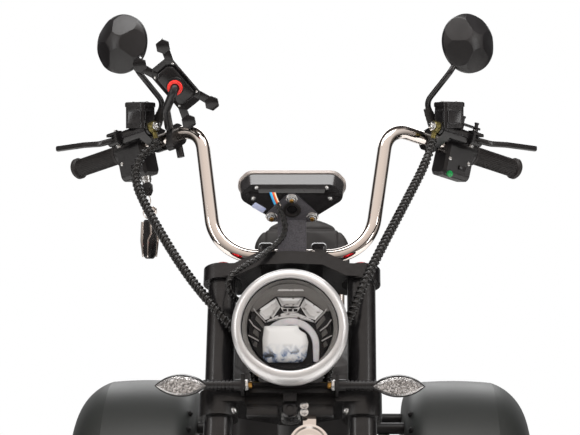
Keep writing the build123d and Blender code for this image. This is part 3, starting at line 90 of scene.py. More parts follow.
def grained(name, colour, rough, relief=None, gloss={}):
    """A material whose colour, roughness and relief follow cloudy grain of a size in mm and a detail.

    The colour is a hex value or (size, detail, stops), the roughness a value or (size, detail, least,
    most) and the relief (size, detail, strength, height in mm). Gloss holds the shader's other inputs.
    """
    made, tree = new_tree(name)
    place = add_node(tree, "TexCoord")
    surface = {"Roughness": rough, **gloss}
    if isinstance(colour, str):
        surface["Base Color"] = linear(colour)
    for socket, given in (("Base Color", colour), ("Roughness", rough), ("Normal", relief)):
        if not isinstance(given, tuple):
            continue
        size, detail, *span = given
        spread = {"Vector": place.outputs["Object"], "Scale": 1000 / size, "Detail": detail}
        grain = add_node(tree, "TexNoise", spread).outputs["Fac"]
        if socket == "Base Color":
            tone = add_node(tree, "ValToRGB", {"Fac": grain})
            set_stops(tone, span[0])
            surface[socket] = tone.outputs["Color"]
        elif socket == "Roughness":
            sheen = add_node(tree, "MapRange", {"Value": grain, "To Min": span[0], "To Max": span[1]})
            surface[socket] = sheen.outputs["Result"]
        else:
            height = {"Strength": span[0], "Distance": span[1] / 1000}
            surface[socket] = add_node(tree, "Bump", {"Height": grain, **height}).outputs["Normal"]
    give_surface(tree, surface)
    return made


bpy.ops.object.select_all(action="DESELECT")
bpy.ops.mesh.primitive_circle_add(vertices=96, radius=2.4, fill_type="NGON", location=(0, 0, -0.0005))
floor = bpy.context.object
floor.name = "studio_floor"
bpy.ops.object.transform_apply(location=True, rotation=True, scale=True)
# Pale paper: matt, with a faint fibre cloud
floor_paper = grained(
    "pale paper floor", colour=(400, 3, ((0.3, "#e6e6e5"), (0.7, "#ecebea"))), rough=0.8
)
floor.data.materials.append(floor_paper)

room = bpy.data.worlds.new("studio room")
bpy.context.scene.world = room
room.use_nodes = True
tree = room.node_tree
tree.nodes.clear()
place = add_node(tree, "TexCoord")
way = add_node(tree, "SeparateXYZ", {"Vector": place.outputs["Generated"]})
depth = add_node(tree, "MapRange", {"Value": way.outputs["Y"], "From Min": -1.0, "From Max": 1.0})
wall = add_node(tree, "ValToRGB", {"Fac": depth.outputs["Result"]})
set_stops(
    wall,
    (
        (0.0, "#dcd1c9"), (0.34, "#e3dad3"), (0.46, "#f1ebe6"), (0.54, "#a39a93"), (0.64, "#4a4543"),
        (0.86, "#1c1a1a"), (0.94, "#f4f4f4"),
    ),
)
rise = {"From Min": -0.3, "From Max": 0.9, "To Min": 0.25, "To Max": 1.3}
high = add_node(tree, "MapRange", {"Value": way.outputs["Z"], **rise})
shade = add_node(tree, "Background", {"Color": wall.outputs["Color"], "Strength": high.outputs["Result"]})
white = add_node(tree, "Background", {"Color": (1, 1, 1, 1), "Strength": 1.0})
ray = add_node(tree, "LightPath")
seen = ray.outputs["Is Camera Ray"]
mix = add_node(tree, "MixShader", {0: seen, 1: shade.outputs[0], 2: white.outputs[0]})
add_node(tree, "OutputWorld", {"Surface": mix.outputs[0]})

for name, place, aim, size, power, shines in (
    ("top_box", (0.0, -0.5, 3.2), (0, 0.1, 0.6), (2.4, 2.4), 72, False),
    ("top_strip", (0.0, -0.35, 2.9), (0, -0.2, 0.9), (2.6, 0.6), 26, True),
    ("left_box", (-2.8, -1.4, 1.6), (0, -0.2, 0.8), (0.9, 2.4), 26, False),
    ("left_strip", (-2.6, -1.5, 1.5), (0, -0.2, 0.9), (0.26, 2.2), 12, True),
    ("right_box", (2.8, -1.4, 1.6), (0, -0.2, 0.8), (0.9, 2.4), 26, False),
    ("right_strip", (2.6, -1.5, 1.5), (0, -0.2, 0.9), (0.26, 2.2), 12, True),
    ("front_box", (0.5, -4.8, 2.6), (0, -0.3, 0.8), (2.4, 1.2), 42, False),
    ("back_box", (0.0, 3.4, 2.2), (0, 0.4, 0.6), (3.0, 1.4), 40, True),
):
    lamp = bpy.data.lights.new(name, "AREA")
    lamp.shape = "RECTANGLE"
    lamp.size, lamp.size_y = size
    lamp.energy = power
    box = bpy.data.objects.new(name, lamp)
    box.location = place
    box.rotation_euler = (Vector(aim) - Vector(place)).to_track_quat("-Z", "Y").to_euler()
    box.visible_camera = False
    box.visible_glossy = shines
    bpy.context.scene.collection.objects.link(box)

camera = bpy.data.objects.new("photograph", bpy.data.cameras.new("photograph"))
bpy.context.scene.collection.objects.link(camera)
camera.location = (0.075, -3.488, 1.045)
camera.rotation_euler = (radians(90 - 1.36), 0, radians(1.42))
camera.data.sensor_width = 36
camera.data.lens = 111.5
bpy.context.scene.camera = camera
bpy.context.scene.view_settings.view_transform = "Standard"

# Frame: welded steel tube with a boxed floor beam, under satin black powder coat. The rear frame,
# the deck's bearers, the arms and the lamp bracket are coated with it. Weld beads ring the joints.


def dress(material, *nodes):
    """Gives CAD nodes their finish."""
    for name in nodes:
        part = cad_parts[name]
        part.data.materials.clear()
        part.data.materials.append(material)


# Powder coat: deep black with fine orange peel, a soft sheen and a little road dust
powder_coat = grained(
    "satin black powder coat",
    colour=(60, 4, ((0.35, "#100f10"), (0.75, "#1a1919"))),
    rough=(60, 4, 0.32, 0.5),
    relief=(1.5, 2, 0.12, 0.2),
    gloss={"Specular IOR Level": 0.32},
)
dress(powder_coat, "frame_spine", "deck_bearers", "rear_frame", "trailing_arms", "lamp_bracket", "seat_box")

# The shared frame's origin lies this far behind the front axle, in mm
origin_behind = 653.25


def spot(x, y, z):
    """A point in metres from mm across, behind the front axle and above the ground."""
    return Vector((x, y - origin_behind, z)) / 1000


def frame_at(place, out, up):
    """The matrix of a frame at a place: Z points out, and Y is as near to up as can be."""
    z = Vector(out).normalized()
    x = Vector(up).cross(z).normalized()
    y = z.cross(x)
    return Matrix.Translation(place) @ Matrix((x, y, z)).transposed().to_4x4()


def turned(name, rings, sides=32, loop=False):
    """A piece turned about Z: a circle extruded and scaled through rings of (radius, height) in mm."""
    radius, height = rings[0]
    bpy.ops.object.select_all(action="DESELECT")
    bpy.ops.mesh.primitive_circle_add(
        vertices=sides, radius=radius / 1000, fill_type="NOTHING" if loop else "NGON"
    )
    piece = bpy.context.object
    piece.name = name
    bpy.ops.object.mode_set(mode="EDIT")
    bpy.ops.mesh.select_mode(type="VERT")
    bpy.ops.mesh.select_all(action="SELECT")
    bpy.ops.transform.translate(value=(0, 0, height / 1000))
    for wide, high in rings[1:]:
        rise, growth = (high - height) / 1000, wide / radius
        bpy.ops.mesh.extrude_region_move(TRANSFORM_OT_translate={"value": (0, 0, rise)})
        bpy.ops.transform.resize(value=(growth, growth, 1), center_override=(0, 0, high / 1000))
        radius, height = wide, high
    bpy.ops.mesh.select_all(action="SELECT")
    bpy.ops.mesh.remove_doubles(threshold=0.000002)
    bpy.ops.mesh.normals_make_consistent(inside=False)
    bpy.ops.object.mode_set(mode="OBJECT")
    return piece


def gather(name, pieces):
    """Joins pieces into one of that name."""
    bpy.ops.object.select_all(action="DESELECT")
    for piece in pieces:
        piece.select_set(True)
    bpy.context.view_layer.objects.active = pieces[0]
    bpy.ops.object.join()
    pieces[0].name = name
    return pieces[0]


def repeat(name, master, places):
    """Copies a master to each place, given as (point, out, up), and joins the copies under one name."""
    twins = []
    for place, out, up in places:
        twin = bpy.data.objects.new(name, master.data.copy())
        twin.data.transform(frame_at(place, out, up))
        bpy.context.scene.collection.objects.link(twin)
        twins.append(twin)
    bpy.data.objects.remove(master)
    return gather(name, twins)


def select_only(piece):
    """Makes a piece the only one selected, and the active one."""
    bpy.ops.object.select_all(action="DESELECT")
    bpy.context.view_layer.objects.active = piece
    piece.select_set(True)


def shape(piece, kind, **settings):
    """Gives a piece a modifier with its settings, and applies it."""
    select_only(piece)
    modifier = piece.modifiers.new(kind, kind)
    for name, value in settings.items():
        setattr(modifier, name, value)
    bpy.ops.object.modifier_apply(modifier=modifier.name)


def fit(piece, body, finish, edge=0.0, angle=40):
    """Breaks the piece's edges by edge mm, smooths its round faces, and fits it to its body."""
    if edge:
        shape(piece, "BEVEL", width=edge / 1000, segments=2, limit_method="ANGLE")
    select_only(piece)
    bpy.ops.object.shade_smooth_by_angle(angle=radians(angle))
    piece.data.materials.append(finish)
    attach(piece, body)


# A weld bead: a rounded ring where a cross tube meets an upright
bead_section = [(13.2, -2.4), (15.2, -2.0), (16.4, 0), (15.2, 2.0), (13.2, 2.4), (13.2, -2.4)]
bead = turned("weld_bead", bead_section, 36, loop=True)
welds = repeat(
    "rear_frame_welds",
    bead,
    [
        (spot(side * (60 + lean), y, 480.1), (side, 0, 0), (0, 0, 1))
        for side in (-1, 1)
        for y in (1157.7, 1312.0)
        for lean in (-15.6, 15.6)
    ],
)
fit(welds, "chassis", powder_coat)

# Rear axle: a beam with the hub motor's case in the middle, sand-cast and left bare. The shock
# absorbers beside it are a rod, a can and a wound spring between two eyes.

# Cast aluminium: dull grey with a sandy skin
cast_metal = grained(
    "sand-cast aluminium",
    colour=(2, 5, ((0.3, "#3b3b3d"), (0.7, "#58585a"))),
    rough=0.5,
    relief=(2, 5, 0.3, 0.4),
    gloss={"Metallic": 1},
)
dress(cast_metal, "rear_axle")

# Spring steel: bright plating, a little cloudy from the bath
spring_steel = grained(
    "plated spring steel", colour="#c9c8c6", rough=(4, 3, 0.12, 0.3), gloss={"Metallic": 1}
)

shock_foot, shock_head = spot(185, 1186, 227.5), spot(185, 1160.7, 452.8)
shock_length = (shock_head - shock_foot).length * 1000
coil_turns, coil_low, coil_high = 7, 40.0, shock_length - 34
coil_radius, wire_radius = 22.5, 4.2
shock_places = [
    (Vector((side * shock_foot.x, shock_foot.y, shock_foot.z)), shock_head - shock_foot, (side, 0, 0))
    for side in (-1, 1)
]
can = turned(
    "shock_can",
    [
        (9.5, 2), (9.5, coil_low - 8), (24, coil_low - 8), (25.5, coil_low - 6), (25.5, coil_low - 1),
        (17, coil_low), (17, 118), (15, 121), (8, 122), (8, coil_high - 2), (24, coil_high),
        (25.5, coil_high + 2), (25.5, coil_high + 6), (12, coil_high + 8), (12, coil_high + 31),
    ],
    36,
)
shock_cans = repeat("shock_cans", can, shock_places)
fit(shock_cans, "chassis", powder_coat)
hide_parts("rear_shocks")

bpy.ops.object.select_all(action="DESELECT")
bpy.ops.mesh.primitive_circle_add(
    vertices=10,
    radius=wire_radius / 1000,
    rotation=(pi / 2, 0, 0),
    location=(coil_radius / 1000, 0, coil_low / 1000),
)
wire = bpy.context.object
bpy.ops.object.transform_apply(location=True, rotation=True, scale=True)
coil_pitch = (coil_high - coil_low) / coil_turns / 1000
shape(wire, "SCREW", screw_offset=coil_pitch, iterations=coil_turns, steps=28, render_steps=28)
shock_springs = repeat("shock_springs", wire, shock_places)
fit(shock_springs, "chassis", spring_steel)
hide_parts("rear_shocks")

eye_section = [(6, -13), (13, -13), (14, -11.5), (14, 11.5), (13, 13), (6, 13), (6, -13)]
eye = turned("shock_eye", eye_section, 36, loop=True)
shock_eyes = repeat(
    "shock_eyes",
    eye,
    [
        (Vector((side * end.x, end.y, end.z)), (1, 0, 0), (0, 0, 1))
        for side in (-1, 1)
        for end in (shock_foot, shock_head)
    ],
)
fit(shock_eyes, "chassis", powder_coat)

# Wheels: wide tubeless tyres with ribs round the crown and open lugs at the shoulders, on cast
# spoked rims painted gloss black. The front one carries a ground steel brake disc.


def bow(first, middle, last, steps):
    """Points along the arc through three points, without its last one."""
    (ax, ay), (bx, by), (cx, cy) = first, middle, last
    d = 2 * (ax * (by - cy) + bx * (cy - ay) + cx * (ay - by))
    ux = ((ax**2 + ay**2) * (by - cy) + (bx**2 + by**2) * (cy - ay) + (cx**2 + cy**2) * (ay - by)) / d
    uy = ((ax**2 + ay**2) * (cx - bx) + (bx**2 + by**2) * (ax - cx) + (cx**2 + cy**2) * (bx - ax)) / d
    radius = hypot(ax - ux, ay - uy)
    start = atan2(ay - uy, ax - ux)
    sweep = (atan2(cy - uy, cx - ux) - start + pi) % (2 * pi) - pi
    turns = [start + sweep * step / steps for step in range(steps)]
    return [(ux + radius * cos(turn), uy + radius * sin(turn)) for turn in turns]


def step_round(point, steps):
    """Which of the equal steps round Z a point is in."""
    return int((atan2(point.y, point.x) / (2 * pi) + 1) * steps)


def pick_faces(piece, wanted):
    """Opens the piece in edit mode with those faces selected whose middle and normal pass the test."""
    select_only(piece)
    bpy.ops.object.mode_set(mode="EDIT")
    bpy.ops.mesh.select_mode(type="FACE")
    bpy.ops.mesh.select_all(action="DESELECT")
    bpy.ops.object.mode_set(mode="OBJECT")
    for face in piece.data.polygons:
        face.select = wanted(face.center, face.normal)
    bpy.ops.object.mode_set(mode="EDIT")


# Tyre rubber: matt black with a grey bloom and a fine moulding grain
tyre_rubber = grained(
    "moulded tyre rubber",
    colour=(30, 5, ((0.35, "#171616"), (0.75, "#232221"))),
    rough=0.68,
    relief=(1.2, 2, 0.2, 0.3),
    gloss={"Specular IOR Level": 0.35},
)

front_radius, rear_radius = 243.5, 238.5
wheelbase, half_track = 1230, 369
tyre_steps, groove_depth, lug_height = 120, 5.5, 5.0
for name, body, x, y, radius, width, rim_width, crown_drop, grooves in (
    ("front_tyre", "front_wheel", 0, 0, front_radius, 130, 90, 12, (14, 32)),
    ("rear_tyre_left", "rear_wheel_left", half_track, wheelbase, rear_radius, 215, 165, 8, (16, 44, 68)),
    ("rear_tyre_right", "rear_wheel_right", -half_track, wheelbase, rear_radius, 215, 165, 8, (16, 44, 68)),
):
    bead_x, bead_r = rim_width / 2 - 0.3, 152.8
    flex_r, shoulder = 168.5, (0.41 * width, radius - crown_drop)
    side = bow((bead_x, flex_r), (width / 2, (flex_r + radius) / 2), shoulder, 9)
    crown_r = ((0.41 * width) ** 2 + crown_drop**2) / (2 * crown_drop)

    def crown(across, sunk=0.0):
        """A point of the tread's arc, sunk below it."""
        return (across, radius - sunk - crown_r + (crown_r**2 - across**2) ** 0.5)

    half = [(bead_x, bead_r)] + side + [shoulder]
    for groove in reversed(grooves):
        half += [crown(groove + 4), crown(groove + 3, groove_depth)]
        half += [crown(groove - 3, groove_depth), crown(groove - 4)]
    section = half + [crown(0)] + [(-across, r) for across, r in reversed(half)]
    rings = [(r, across) for across, r in section + section[:1]]
    tread = turned(name + "_treaded", rings, tyre_steps, loop=True)
    lug_low, lug_high = grooves[-1] + 6, 0.46 * width

    def is_lug(middle, normal):
        """Every fourth face round each shoulder, staggered from side to side."""
        step = step_round(middle, tyre_steps) + (2 if middle.z > 0 else 0)
        on_shoulder = hypot(middle.x, middle.y) * 1000 > radius - 2.6 * crown_drop
        return lug_low < abs(middle.z) * 1000 < lug_high and on_shoulder and step % 4 == 0

    pick_faces(tread, is_lug)
    bpy.ops.mesh.extrude_region_shrink_fatten(TRANSFORM_OT_shrink_fatten={"value": -lug_height / 1000})
    bpy.ops.object.mode_set(mode="OBJECT")
    tread.data.transform(frame_at(spot(x, y, radius), (1, 0, 0), (0, 0, 1)))
    fit(tread, body, tyre_rubber, angle=28)
    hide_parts(name)

# Gloss black over cast alloy: a deep clear coat with slight orange peel
rim_paint = grained(
    "gloss black wheel paint",
    colour="#0d0d0e",
    rough=0.28,
    relief=(3, 2, 0.08, 0.2),
    gloss={"Coat Weight": 0.5, "Coat Roughness": 0.06},
)
dress(rim_paint, "front_rim", "rear_rim_left", "rear_rim_right")

# Disc steel: ground in rings round the axle, so the sheen runs in arcs
disc_steel, tree = new_tree("ground brake disc steel")
place = add_node(tree, "TexCoord")
to_axle = -spot(0, 0, front_radius)
from_axle = add_node(tree, "Mapping", {"Vector": place.outputs["Object"], "Location": to_axle})
rings = add_node(
    tree, "TexWave", {"Vector": from_axle.outputs["Vector"], "Scale": 1 / 0.02, "Distortion": 1.5},
    wave_type="RINGS", rings_direction="X",
)
rough = add_node(tree, "MapRange", {"Value": rings.outputs["Fac"], "To Min": 0.22, "To Max": 0.4})
give_surface(
    tree, {"Base Color": linear("#b9b8b6"), "Metallic": 1.0, "Roughness": rough.outputs["Result"]}
)
dress(disc_steel, "front_disc")

# Deck: a moulded footboard on the frame's bearers, with two ribbed rubber mats laid in its hollows and
# a row of screws along each side that hold it down.

# ABS: black with a fine spark-eroded texture that turns highlights soft
moulded_abs = grained(
    "fine-textured black ABS",
    colour=(50, 3, ((0.35, "#141314"), (0.7, "#1e1d1e"))),
    rough=0.34,
    relief=(0.9, 4, 0.2, 0.2),
    gloss={"Specular IOR Level": 0.5},
)
dress(moulded_abs, "footboard", "seat_pan")

# Mat rubber: dull black with ribs 8 mm apart across the deck
mat_rubber, tree = new_tree("ribbed floor rubber")
place = add_node(tree, "TexCoord")
ribs = add_node(
    tree, "TexWave", {"Vector": place.outputs["Object"], "Scale": 2 * pi / 20 / 0.008}, bands_direction="Y"
)
dust = add_node(tree, "TexNoise", {"Vector": place.outputs["Object"], "Scale": 1 / 0.03, "Detail": 4})
tone = add_node(tree, "ValToRGB", {"Fac": dust.outputs["Fac"]})
set_stops(tone, ((0.35, "#161515"), (0.75, "#242322")))
bump = add_node(tree, "Bump", {"Height": ribs.outputs["Fac"], "Strength": 0.9, "Distance": 0.0012})
give_surface(
    tree,
    {
        "Base Color": tone.outputs["Color"], "Roughness": 0.7, "Specular IOR Level": 0.3,
        "Normal": bump.outputs["Normal"],
    },
)
dress(mat_rubber, "floor_mats")

# Zinc-plated steel: bright and slightly blue, with a cloudy bath mark
bright_zinc = grained(
    "bright zinc-plated steel",
    colour=(4, 3, ((0.3, "#c9cacb"), (0.7, "#e8e8e6"))),
    rough=(4, 3, 0.14, 0.32),
    gloss={"Metallic": 1},
)


def bolt_head(name, radius, height):
    """A hexagon head with a bevelled top on its washer, seated at Z = 0."""
    hexagon, washer = [(1.15, 0.3), (1, 0.3), (1, 1), (0.8, 1.12)], [(1.45, 0), (1.45, 0.26), (1.3, 0.32)]
    rounds = [
        turned(name, [(wide * radius, high * height) for wide, high in shares], sides)
        for shares, sides in ((hexagon, 6), (washer, 24))
    ]
    return gather(name, rounds)


deck_low, deck_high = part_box("footboard")
screw_x, deck_length = 0.203, deck_high[1] - deck_low[1]
deck_screws = repeat(
    "deck_screws",
    turned("deck_screw", [(5.5, 0), (5.5, 0.8), (4.2, 2.0), (2.2, 2.4), (2.0, 1.4), (0.4, 1.4)], 20),
    [
        (Vector((side * screw_x, deck_low[1] + share * deck_length, deck_high[2])), (0, 0, 1), (0, 1, 0))
        for side in (-1, 1)
        for share in (0.16, 0.5, 0.84)
    ],
)
fit(deck_screws, "chassis", bright_zinc)

# Rear fenders: deep steel pressings in matt grey-green paint, bolted through their inner walls to
# the rear frame's cross tubes. Each carries a round red tail lamp in a bright rim.

# Matt paint: grey-green, a soft broad sheen and the finest metallic fleck
fender_paint = grained(
    "matt grey-green paint",
    colour=(1.2, 2, ((0.3, "#1e201f"), (0.7, "#292b2a"))),
    rough=(120, 3, 0.4, 0.52),
    relief=(1.2, 2, 0.05, 0.2),
    gloss={"Metallic": 0.15},
)
dress(fender_paint, "rear_fender_left", "rear_fender_right", "front_fender")

fender_corner, corner_lean = 55.0, radians(39.5)
wall_x, wall_top, fender_height = 229.5, 265, 256.5
bolt_x = wall_x + fender_corner * (1 - cos(corner_lean))
bolt_reach = wall_top + fender_corner * sin(corner_lean)
fender_bolts = repeat(
    "fender_bolts",
    bolt_head("fender_bolt", 5, 5),
    [
        (
            spot(side * bolt_x, wheelbase - bolt_reach * sin(turn), fender_height + bolt_reach * cos(turn)),
            (-side * cos(corner_lean), -sin(corner_lean) * sin(turn), sin(corner_lean) * cos(turn)),
            (0, -cos(turn), -sin(turn)),
        )
        for side in (-1, 1)
        for turn in (radians(28), radians(38), radians(-40), radians(-60))
    ],
)
fit(fender_bolts, "chassis", powder_coat)

# Red acrylic: moulded with fine upright flutes behind a glossy skin
red_acrylic, tree = new_tree("fluted red acrylic")
place = add_node(tree, "TexCoord")
flutes = add_node(
    tree, "TexWave", {"Vector": place.outputs["Object"], "Scale": 2 * pi / 20 / 0.004}, bands_direction="X"
)
tone = add_node(tree, "ValToRGB", {"Fac": flutes.outputs["Fac"]})
set_stops(tone, ((0.2, "#7d0710"), (0.8, "#b8121c")))
bump = add_node(tree, "Bump", {"Height": flutes.outputs["Fac"], "Strength": 0.5, "Distance": 0.0006})
give_surface(
    tree,
    {
        "Base Color": tone.outputs["Color"], "Roughness": 0.18, "IOR": 1.49, "Coat Weight": 0.8,
        "Normal": bump.outputs["Normal"],
    },
)
dress(red_acrylic, "tail_lamps")

# Seat: a steel box carries a moulded pan, and on it lies a stepped cushion in black leatherette,
# sewn along its edges. The backrest pad is clipped to a chromed hoop behind the rider.


def stuffed(name, node, voxel, inset, reach):
    """A cushion: a copy of the CAD solid, remeshed, drawn in, and blown up as cloth by reach at most."""
    pad = bpy.data.objects.new(name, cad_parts[node].data.copy())
    bpy.context.scene.collection.objects.link(pad)
    select_only(pad)
    pad.data.materials.clear()
    bpy.ops.object.mode_set(mode="EDIT")
    bpy.ops.mesh.select_all(action="SELECT")
    bpy.ops.mesh.remove_doubles(threshold=0.00001)
    bpy.ops.object.mode_set(mode="OBJECT")
    shape(pad, "REMESH", mode="VOXEL", voxel_size=voxel)
    bpy.ops.object.mode_set(mode="EDIT")
    bpy.ops.mesh.select_all(action="SELECT")
    bpy.ops.transform.shrink_fatten(value=-inset)
    bpy.ops.mesh.vertices_smooth(factor=0.5, repeat=6)
    bpy.ops.object.mode_set(mode="OBJECT")
    flat = [corner.co.copy() for corner in pad.data.vertices]
    cloth = pad.modifiers.new("cloth", "CLOTH")
    cloth.settings.use_pressure = True
    cloth.settings.uniform_pressure_force = 4
    cloth.settings.effector_weights.gravity = 0
    cloth.settings.quality = 5
    for step in range(1, 21):
        bpy.context.scene.frame_set(step)
    bpy.ops.object.modifier_apply(modifier=cloth.name)
    bpy.context.scene.frame_set(1)
    for corner, start in zip(pad.data.vertices, flat):
        move = corner.co - start
        if move.length > reach:
            corner.co = start + move.normalized() * reach
    shape(pad, "SUBSURF", levels=1, render_levels=1)
    return pad


def sew(pad, seams, depth=0.0035, width=0.0035):
    """Presses sewn seams into a pad. A seam is a test that gives a point's distance from it."""
    normals = [corner.normal.copy() for corner in pad.data.vertices]
    for corner, normal in zip(pad.data.vertices, normals):
        near = min(abs(seam(corner.co)) for seam in seams)
        if near < 4 * width:
            corner.co -= normal * depth * 2.718 ** -((near / width) ** 2)


# Leatherette: black vinyl with a pebbled grain, drawn at 2 mm so that it shows, and a waxy sheen
leatherette, tree = new_tree("pebbled black leatherette")
place = add_node(tree, "TexCoord")
pebble = add_node(tree, "TexVoronoi", {"Vector": place.outputs["Object"], "Scale": 1 / 0.002})
crease = add_node(tree, "TexNoise", {"Vector": place.outputs["Object"], "Scale": 1 / 0.05, "Detail": 5})
tone = add_node(tree, "ValToRGB", {"Fac": crease.outputs["Fac"]})
set_stops(tone, ((0.3, "#1d1c1c"), (0.75, "#2c2a2a")))
rough = add_node(tree, "MapRange", {"Value": crease.outputs["Fac"], "To Min": 0.42, "To Max": 0.6})
bump = add_node(tree, "Bump", {"Height": pebble.outputs["Distance"], "Strength": 0.35, "Distance": 0.0005})
give_surface(
    tree,
    {
        "Base Color": tone.outputs["Color"], "Roughness": rough.outputs["Result"],
        "Specular IOR Level": 0.4, "Normal": bump.outputs["Normal"],
    },
)

seat_front, seat_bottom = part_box("seat_cushion")[0][1:]
cushion = stuffed("stuffed_seat_cushion", "seat_cushion", 0.006, 0.005, 0.008)
sew(
    cushion,
    [
        lambda point: point.z - seat_bottom - 0.030,
        lambda point: point.y - seat_front - 0.298,
        lambda point: point.y - seat_front - 0.150,
        lambda point: abs(point.x) - 0.118 + 0.25 * max(0.0, seat_front + 0.2 - point.y),
    ],
)
fit(cushion, "chassis", leatherette, angle=180)
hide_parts("seat_cushion")

back_low, back_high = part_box("backrest_pad")
backrest = stuffed("stuffed_backrest", "backrest_pad", 0.005, 0.005, 0.008)
back_y, back_z = (back_low[1] + back_high[1]) / 2, (back_low[2] + back_high[2]) / 2
sew(
    backrest,
    [
        lambda point: point.y - back_y - 0.15 * (point.z - back_z) + 0.002,
        lambda point: max(abs(point.x) - 0.085, abs(point.z - back_low[2] - 0.092) - 0.066),
    ],
)
fit(backrest, "chassis", leatherette, angle=180)
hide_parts("backrest_pad")

# Chrome: a warm mirror with a faint cloudy haze
bright_chrome = grained(
    "polished chrome", colour="#e6ded8", rough=(30, 4, 0.03, 0.11), gloss={"Metallic": 1}
)
dress(bright_chrome, "backrest_hoop", "handlebar", "fork_sliders", "horn")

# The tail lamps' rims, in the same chrome
rim_section = [(31.2, -4), (34.5, -4), (35, -2), (34.4, 3), (31.2, 4), (31.2, -4)]
lamp_rims = repeat(
    "tail_lamp_rims",
    turned("tail_lamp_rim", rim_section, 48, loop=True),
    [(spot(side * half_track, 1512, 440), (0, 1, 0), (0, 0, 1)) for side in (-1, 1)],
)
fit(lamp_rims, "chassis", bright_chrome)

# Fork: two gloss black tubes in a cast lower and a gull-winged upper clamp, chromed sliders, the
# axle, the front fender on its stays, and the brake caliper. Red anodised caps close the tubes.

# Crackle paint over cast alloy: black with a coarse pimpled skin
crackle_paint = grained(
    "black crackle paint",
    colour=(2.6, 4, ((0.35, "#0d0c0d"), (0.75, "#1b1a1a"))),
    rough=0.27,
    relief=(2.6, 4, 0.8, 0.8),
    gloss={"Specular IOR Level": 0.5},
)
dress(crackle_paint, "lower_clamp", "front_caliper", "front_fender_stays")

# Gloss black: hard paint over drawn tube, its gloss a little uneven
gloss_black = grained(
    "gloss black enamel",
    colour=(12, 3, ((0.3, "#111011"), (0.7, "#1a191a"))),
    rough=(12, 3, 0.16, 0.28),
    gloss={"Specular IOR Level": 0.5},
)
dress(gloss_black, "fork_tubes", "upper_clamp", "bar_risers")
dress(gloss_black, "brake_cylinders", "brake_levers", "mirror_stems")

# Red anodised aluminium: satin metal, its dye a little cloudy
red_anodised = grained(
    "red anodised aluminium",
    colour=(3, 3, ((0.3, "#a30d18"), (0.7, "#cf1c26"))),
    rough=0.3,
    gloss={"Metallic": 0.8},
)
dress(red_anodised, "fork_caps")
dress(bright_zinc, "front_axle", "steering_stem")

rake = radians(28)
fork_up, fork_back = Vector((0, sin(rake), cos(rake))), Vector((0, cos(rake), -sin(rake)))


def fork_spot(x, back, up):
    """A point in metres from mm across, behind and up the raked fork from the front axle."""
    return spot(x, 0, front_radius) + (fork_back * back + fork_up * up) / 1000


# Below the lower clamp: two cast bars, the stem's knob, and the bolts of the collars and the bracket
def bar_block(name, length, depth, height):
    """A block of that size in mm, centred at the origin, whose edges fit() breaks."""
    bpy.ops.object.select_all(action="DESELECT")
    bpy.ops.mesh.primitive_cube_add(size=1)
    block = bpy.context.object
    block.name = name
    block.data.transform(Matrix.Diagonal((length / 1000, depth / 1000, height / 1000, 1)))
    return block


clamp_bars = repeat(
    "clamp_bars",
    bar_block("clamp_bar", 54, 20, 21),
    [(fork_spot(side * 47, -12, 447.2), fork_up, fork_back) for side in (-1, 1)],
)
fit(clamp_bars, "steering", crackle_paint, edge=3)

knob_outline = [(12, -16), (13, 2), (14, 5), (14, 11), (11.5, 15), (7, 16), (6, 13), (0.5, 13)]
stem_knob = turned("stem_knob", knob_outline, 36)
stem_knob.data.transform(frame_at(fork_spot(0, -14, 446), -fork_back, fork_up))
fit(stem_knob, "steering", gloss_black)

collar_front, inward = 20.7, Vector((27, 0, 0))
clamp_bolts = repeat(
    "clamp_bolts",
    bolt_head("clamp_bolt", 5, 5),
    [
        (fork_spot(side * 95, -collar_front, 446), -side * inward - fork_back * collar_front, fork_up)
        for side in (-1, 1)
    ]
    + [(fork_spot(side * 44, -25, 487.3), fork_up, fork_back) for side in (-1, 1)]
    + [(fork_spot(24, -22, 447 + drop), -fork_back, fork_up) for drop in (-5, 7)],
)
fit(clamp_bolts, "steering", bright_zinc)

# Horn: a chromed dome with a raised ring, bolted to a strap under the clamp
horn_ring = turned(
    "horn_ring",
    [
        (31.5, -3), (33.5, -3), (34, 0), (33, 2.5), (29, 3.5), (26, 1.5), (22, 2.5), (17, 1.0), (12, 3.0),
        (6, 4.0), (0.5, 4.2),
    ],
    48,
)
horn_ring.data.transform(frame_at(fork_spot(33, -42, 380), -fork_back, fork_up))
fit(horn_ring, "steering", bright_chrome)

# Headlamp: a bowl and a satin ring hold a clear lens. Behind it a grey bezel frames three mirror
# cells under a roof, a thick acrylic optic, an opal light guide round it, and thin bright vanes.


def plate(name, outline, thickness):
    """A flat piece: a circle's corners are moved to the outline, in mm, and it is extruded upwards."""
    bpy.ops.object.select_all(action="DESELECT")
    bpy.ops.mesh.primitive_circle_add(vertices=len(outline), fill_type="NGON")
    piece = bpy.context.object
    piece.name = name
    for corner, (x, y) in zip(piece.data.vertices, outline):
        corner.co = (x / 1000, y / 1000, 0)
    bpy.ops.object.mode_set(mode="EDIT")
    bpy.ops.mesh.select_all(action="SELECT")
    bpy.ops.mesh.extrude_region_move(TRANSFORM_OT_translate={"value": (0, 0, thickness / 1000)})
    bpy.ops.mesh.select_all(action="SELECT")
    bpy.ops.mesh.normals_make_consistent(inside=False)
    bpy.ops.object.mode_set(mode="OBJECT")
    return piece


lamp_tilt = radians(8)
lamp_frame = frame_at(spot(0, 165, 791), (0, -cos(lamp_tilt), sin(lamp_tilt)), (0, 0, 1))


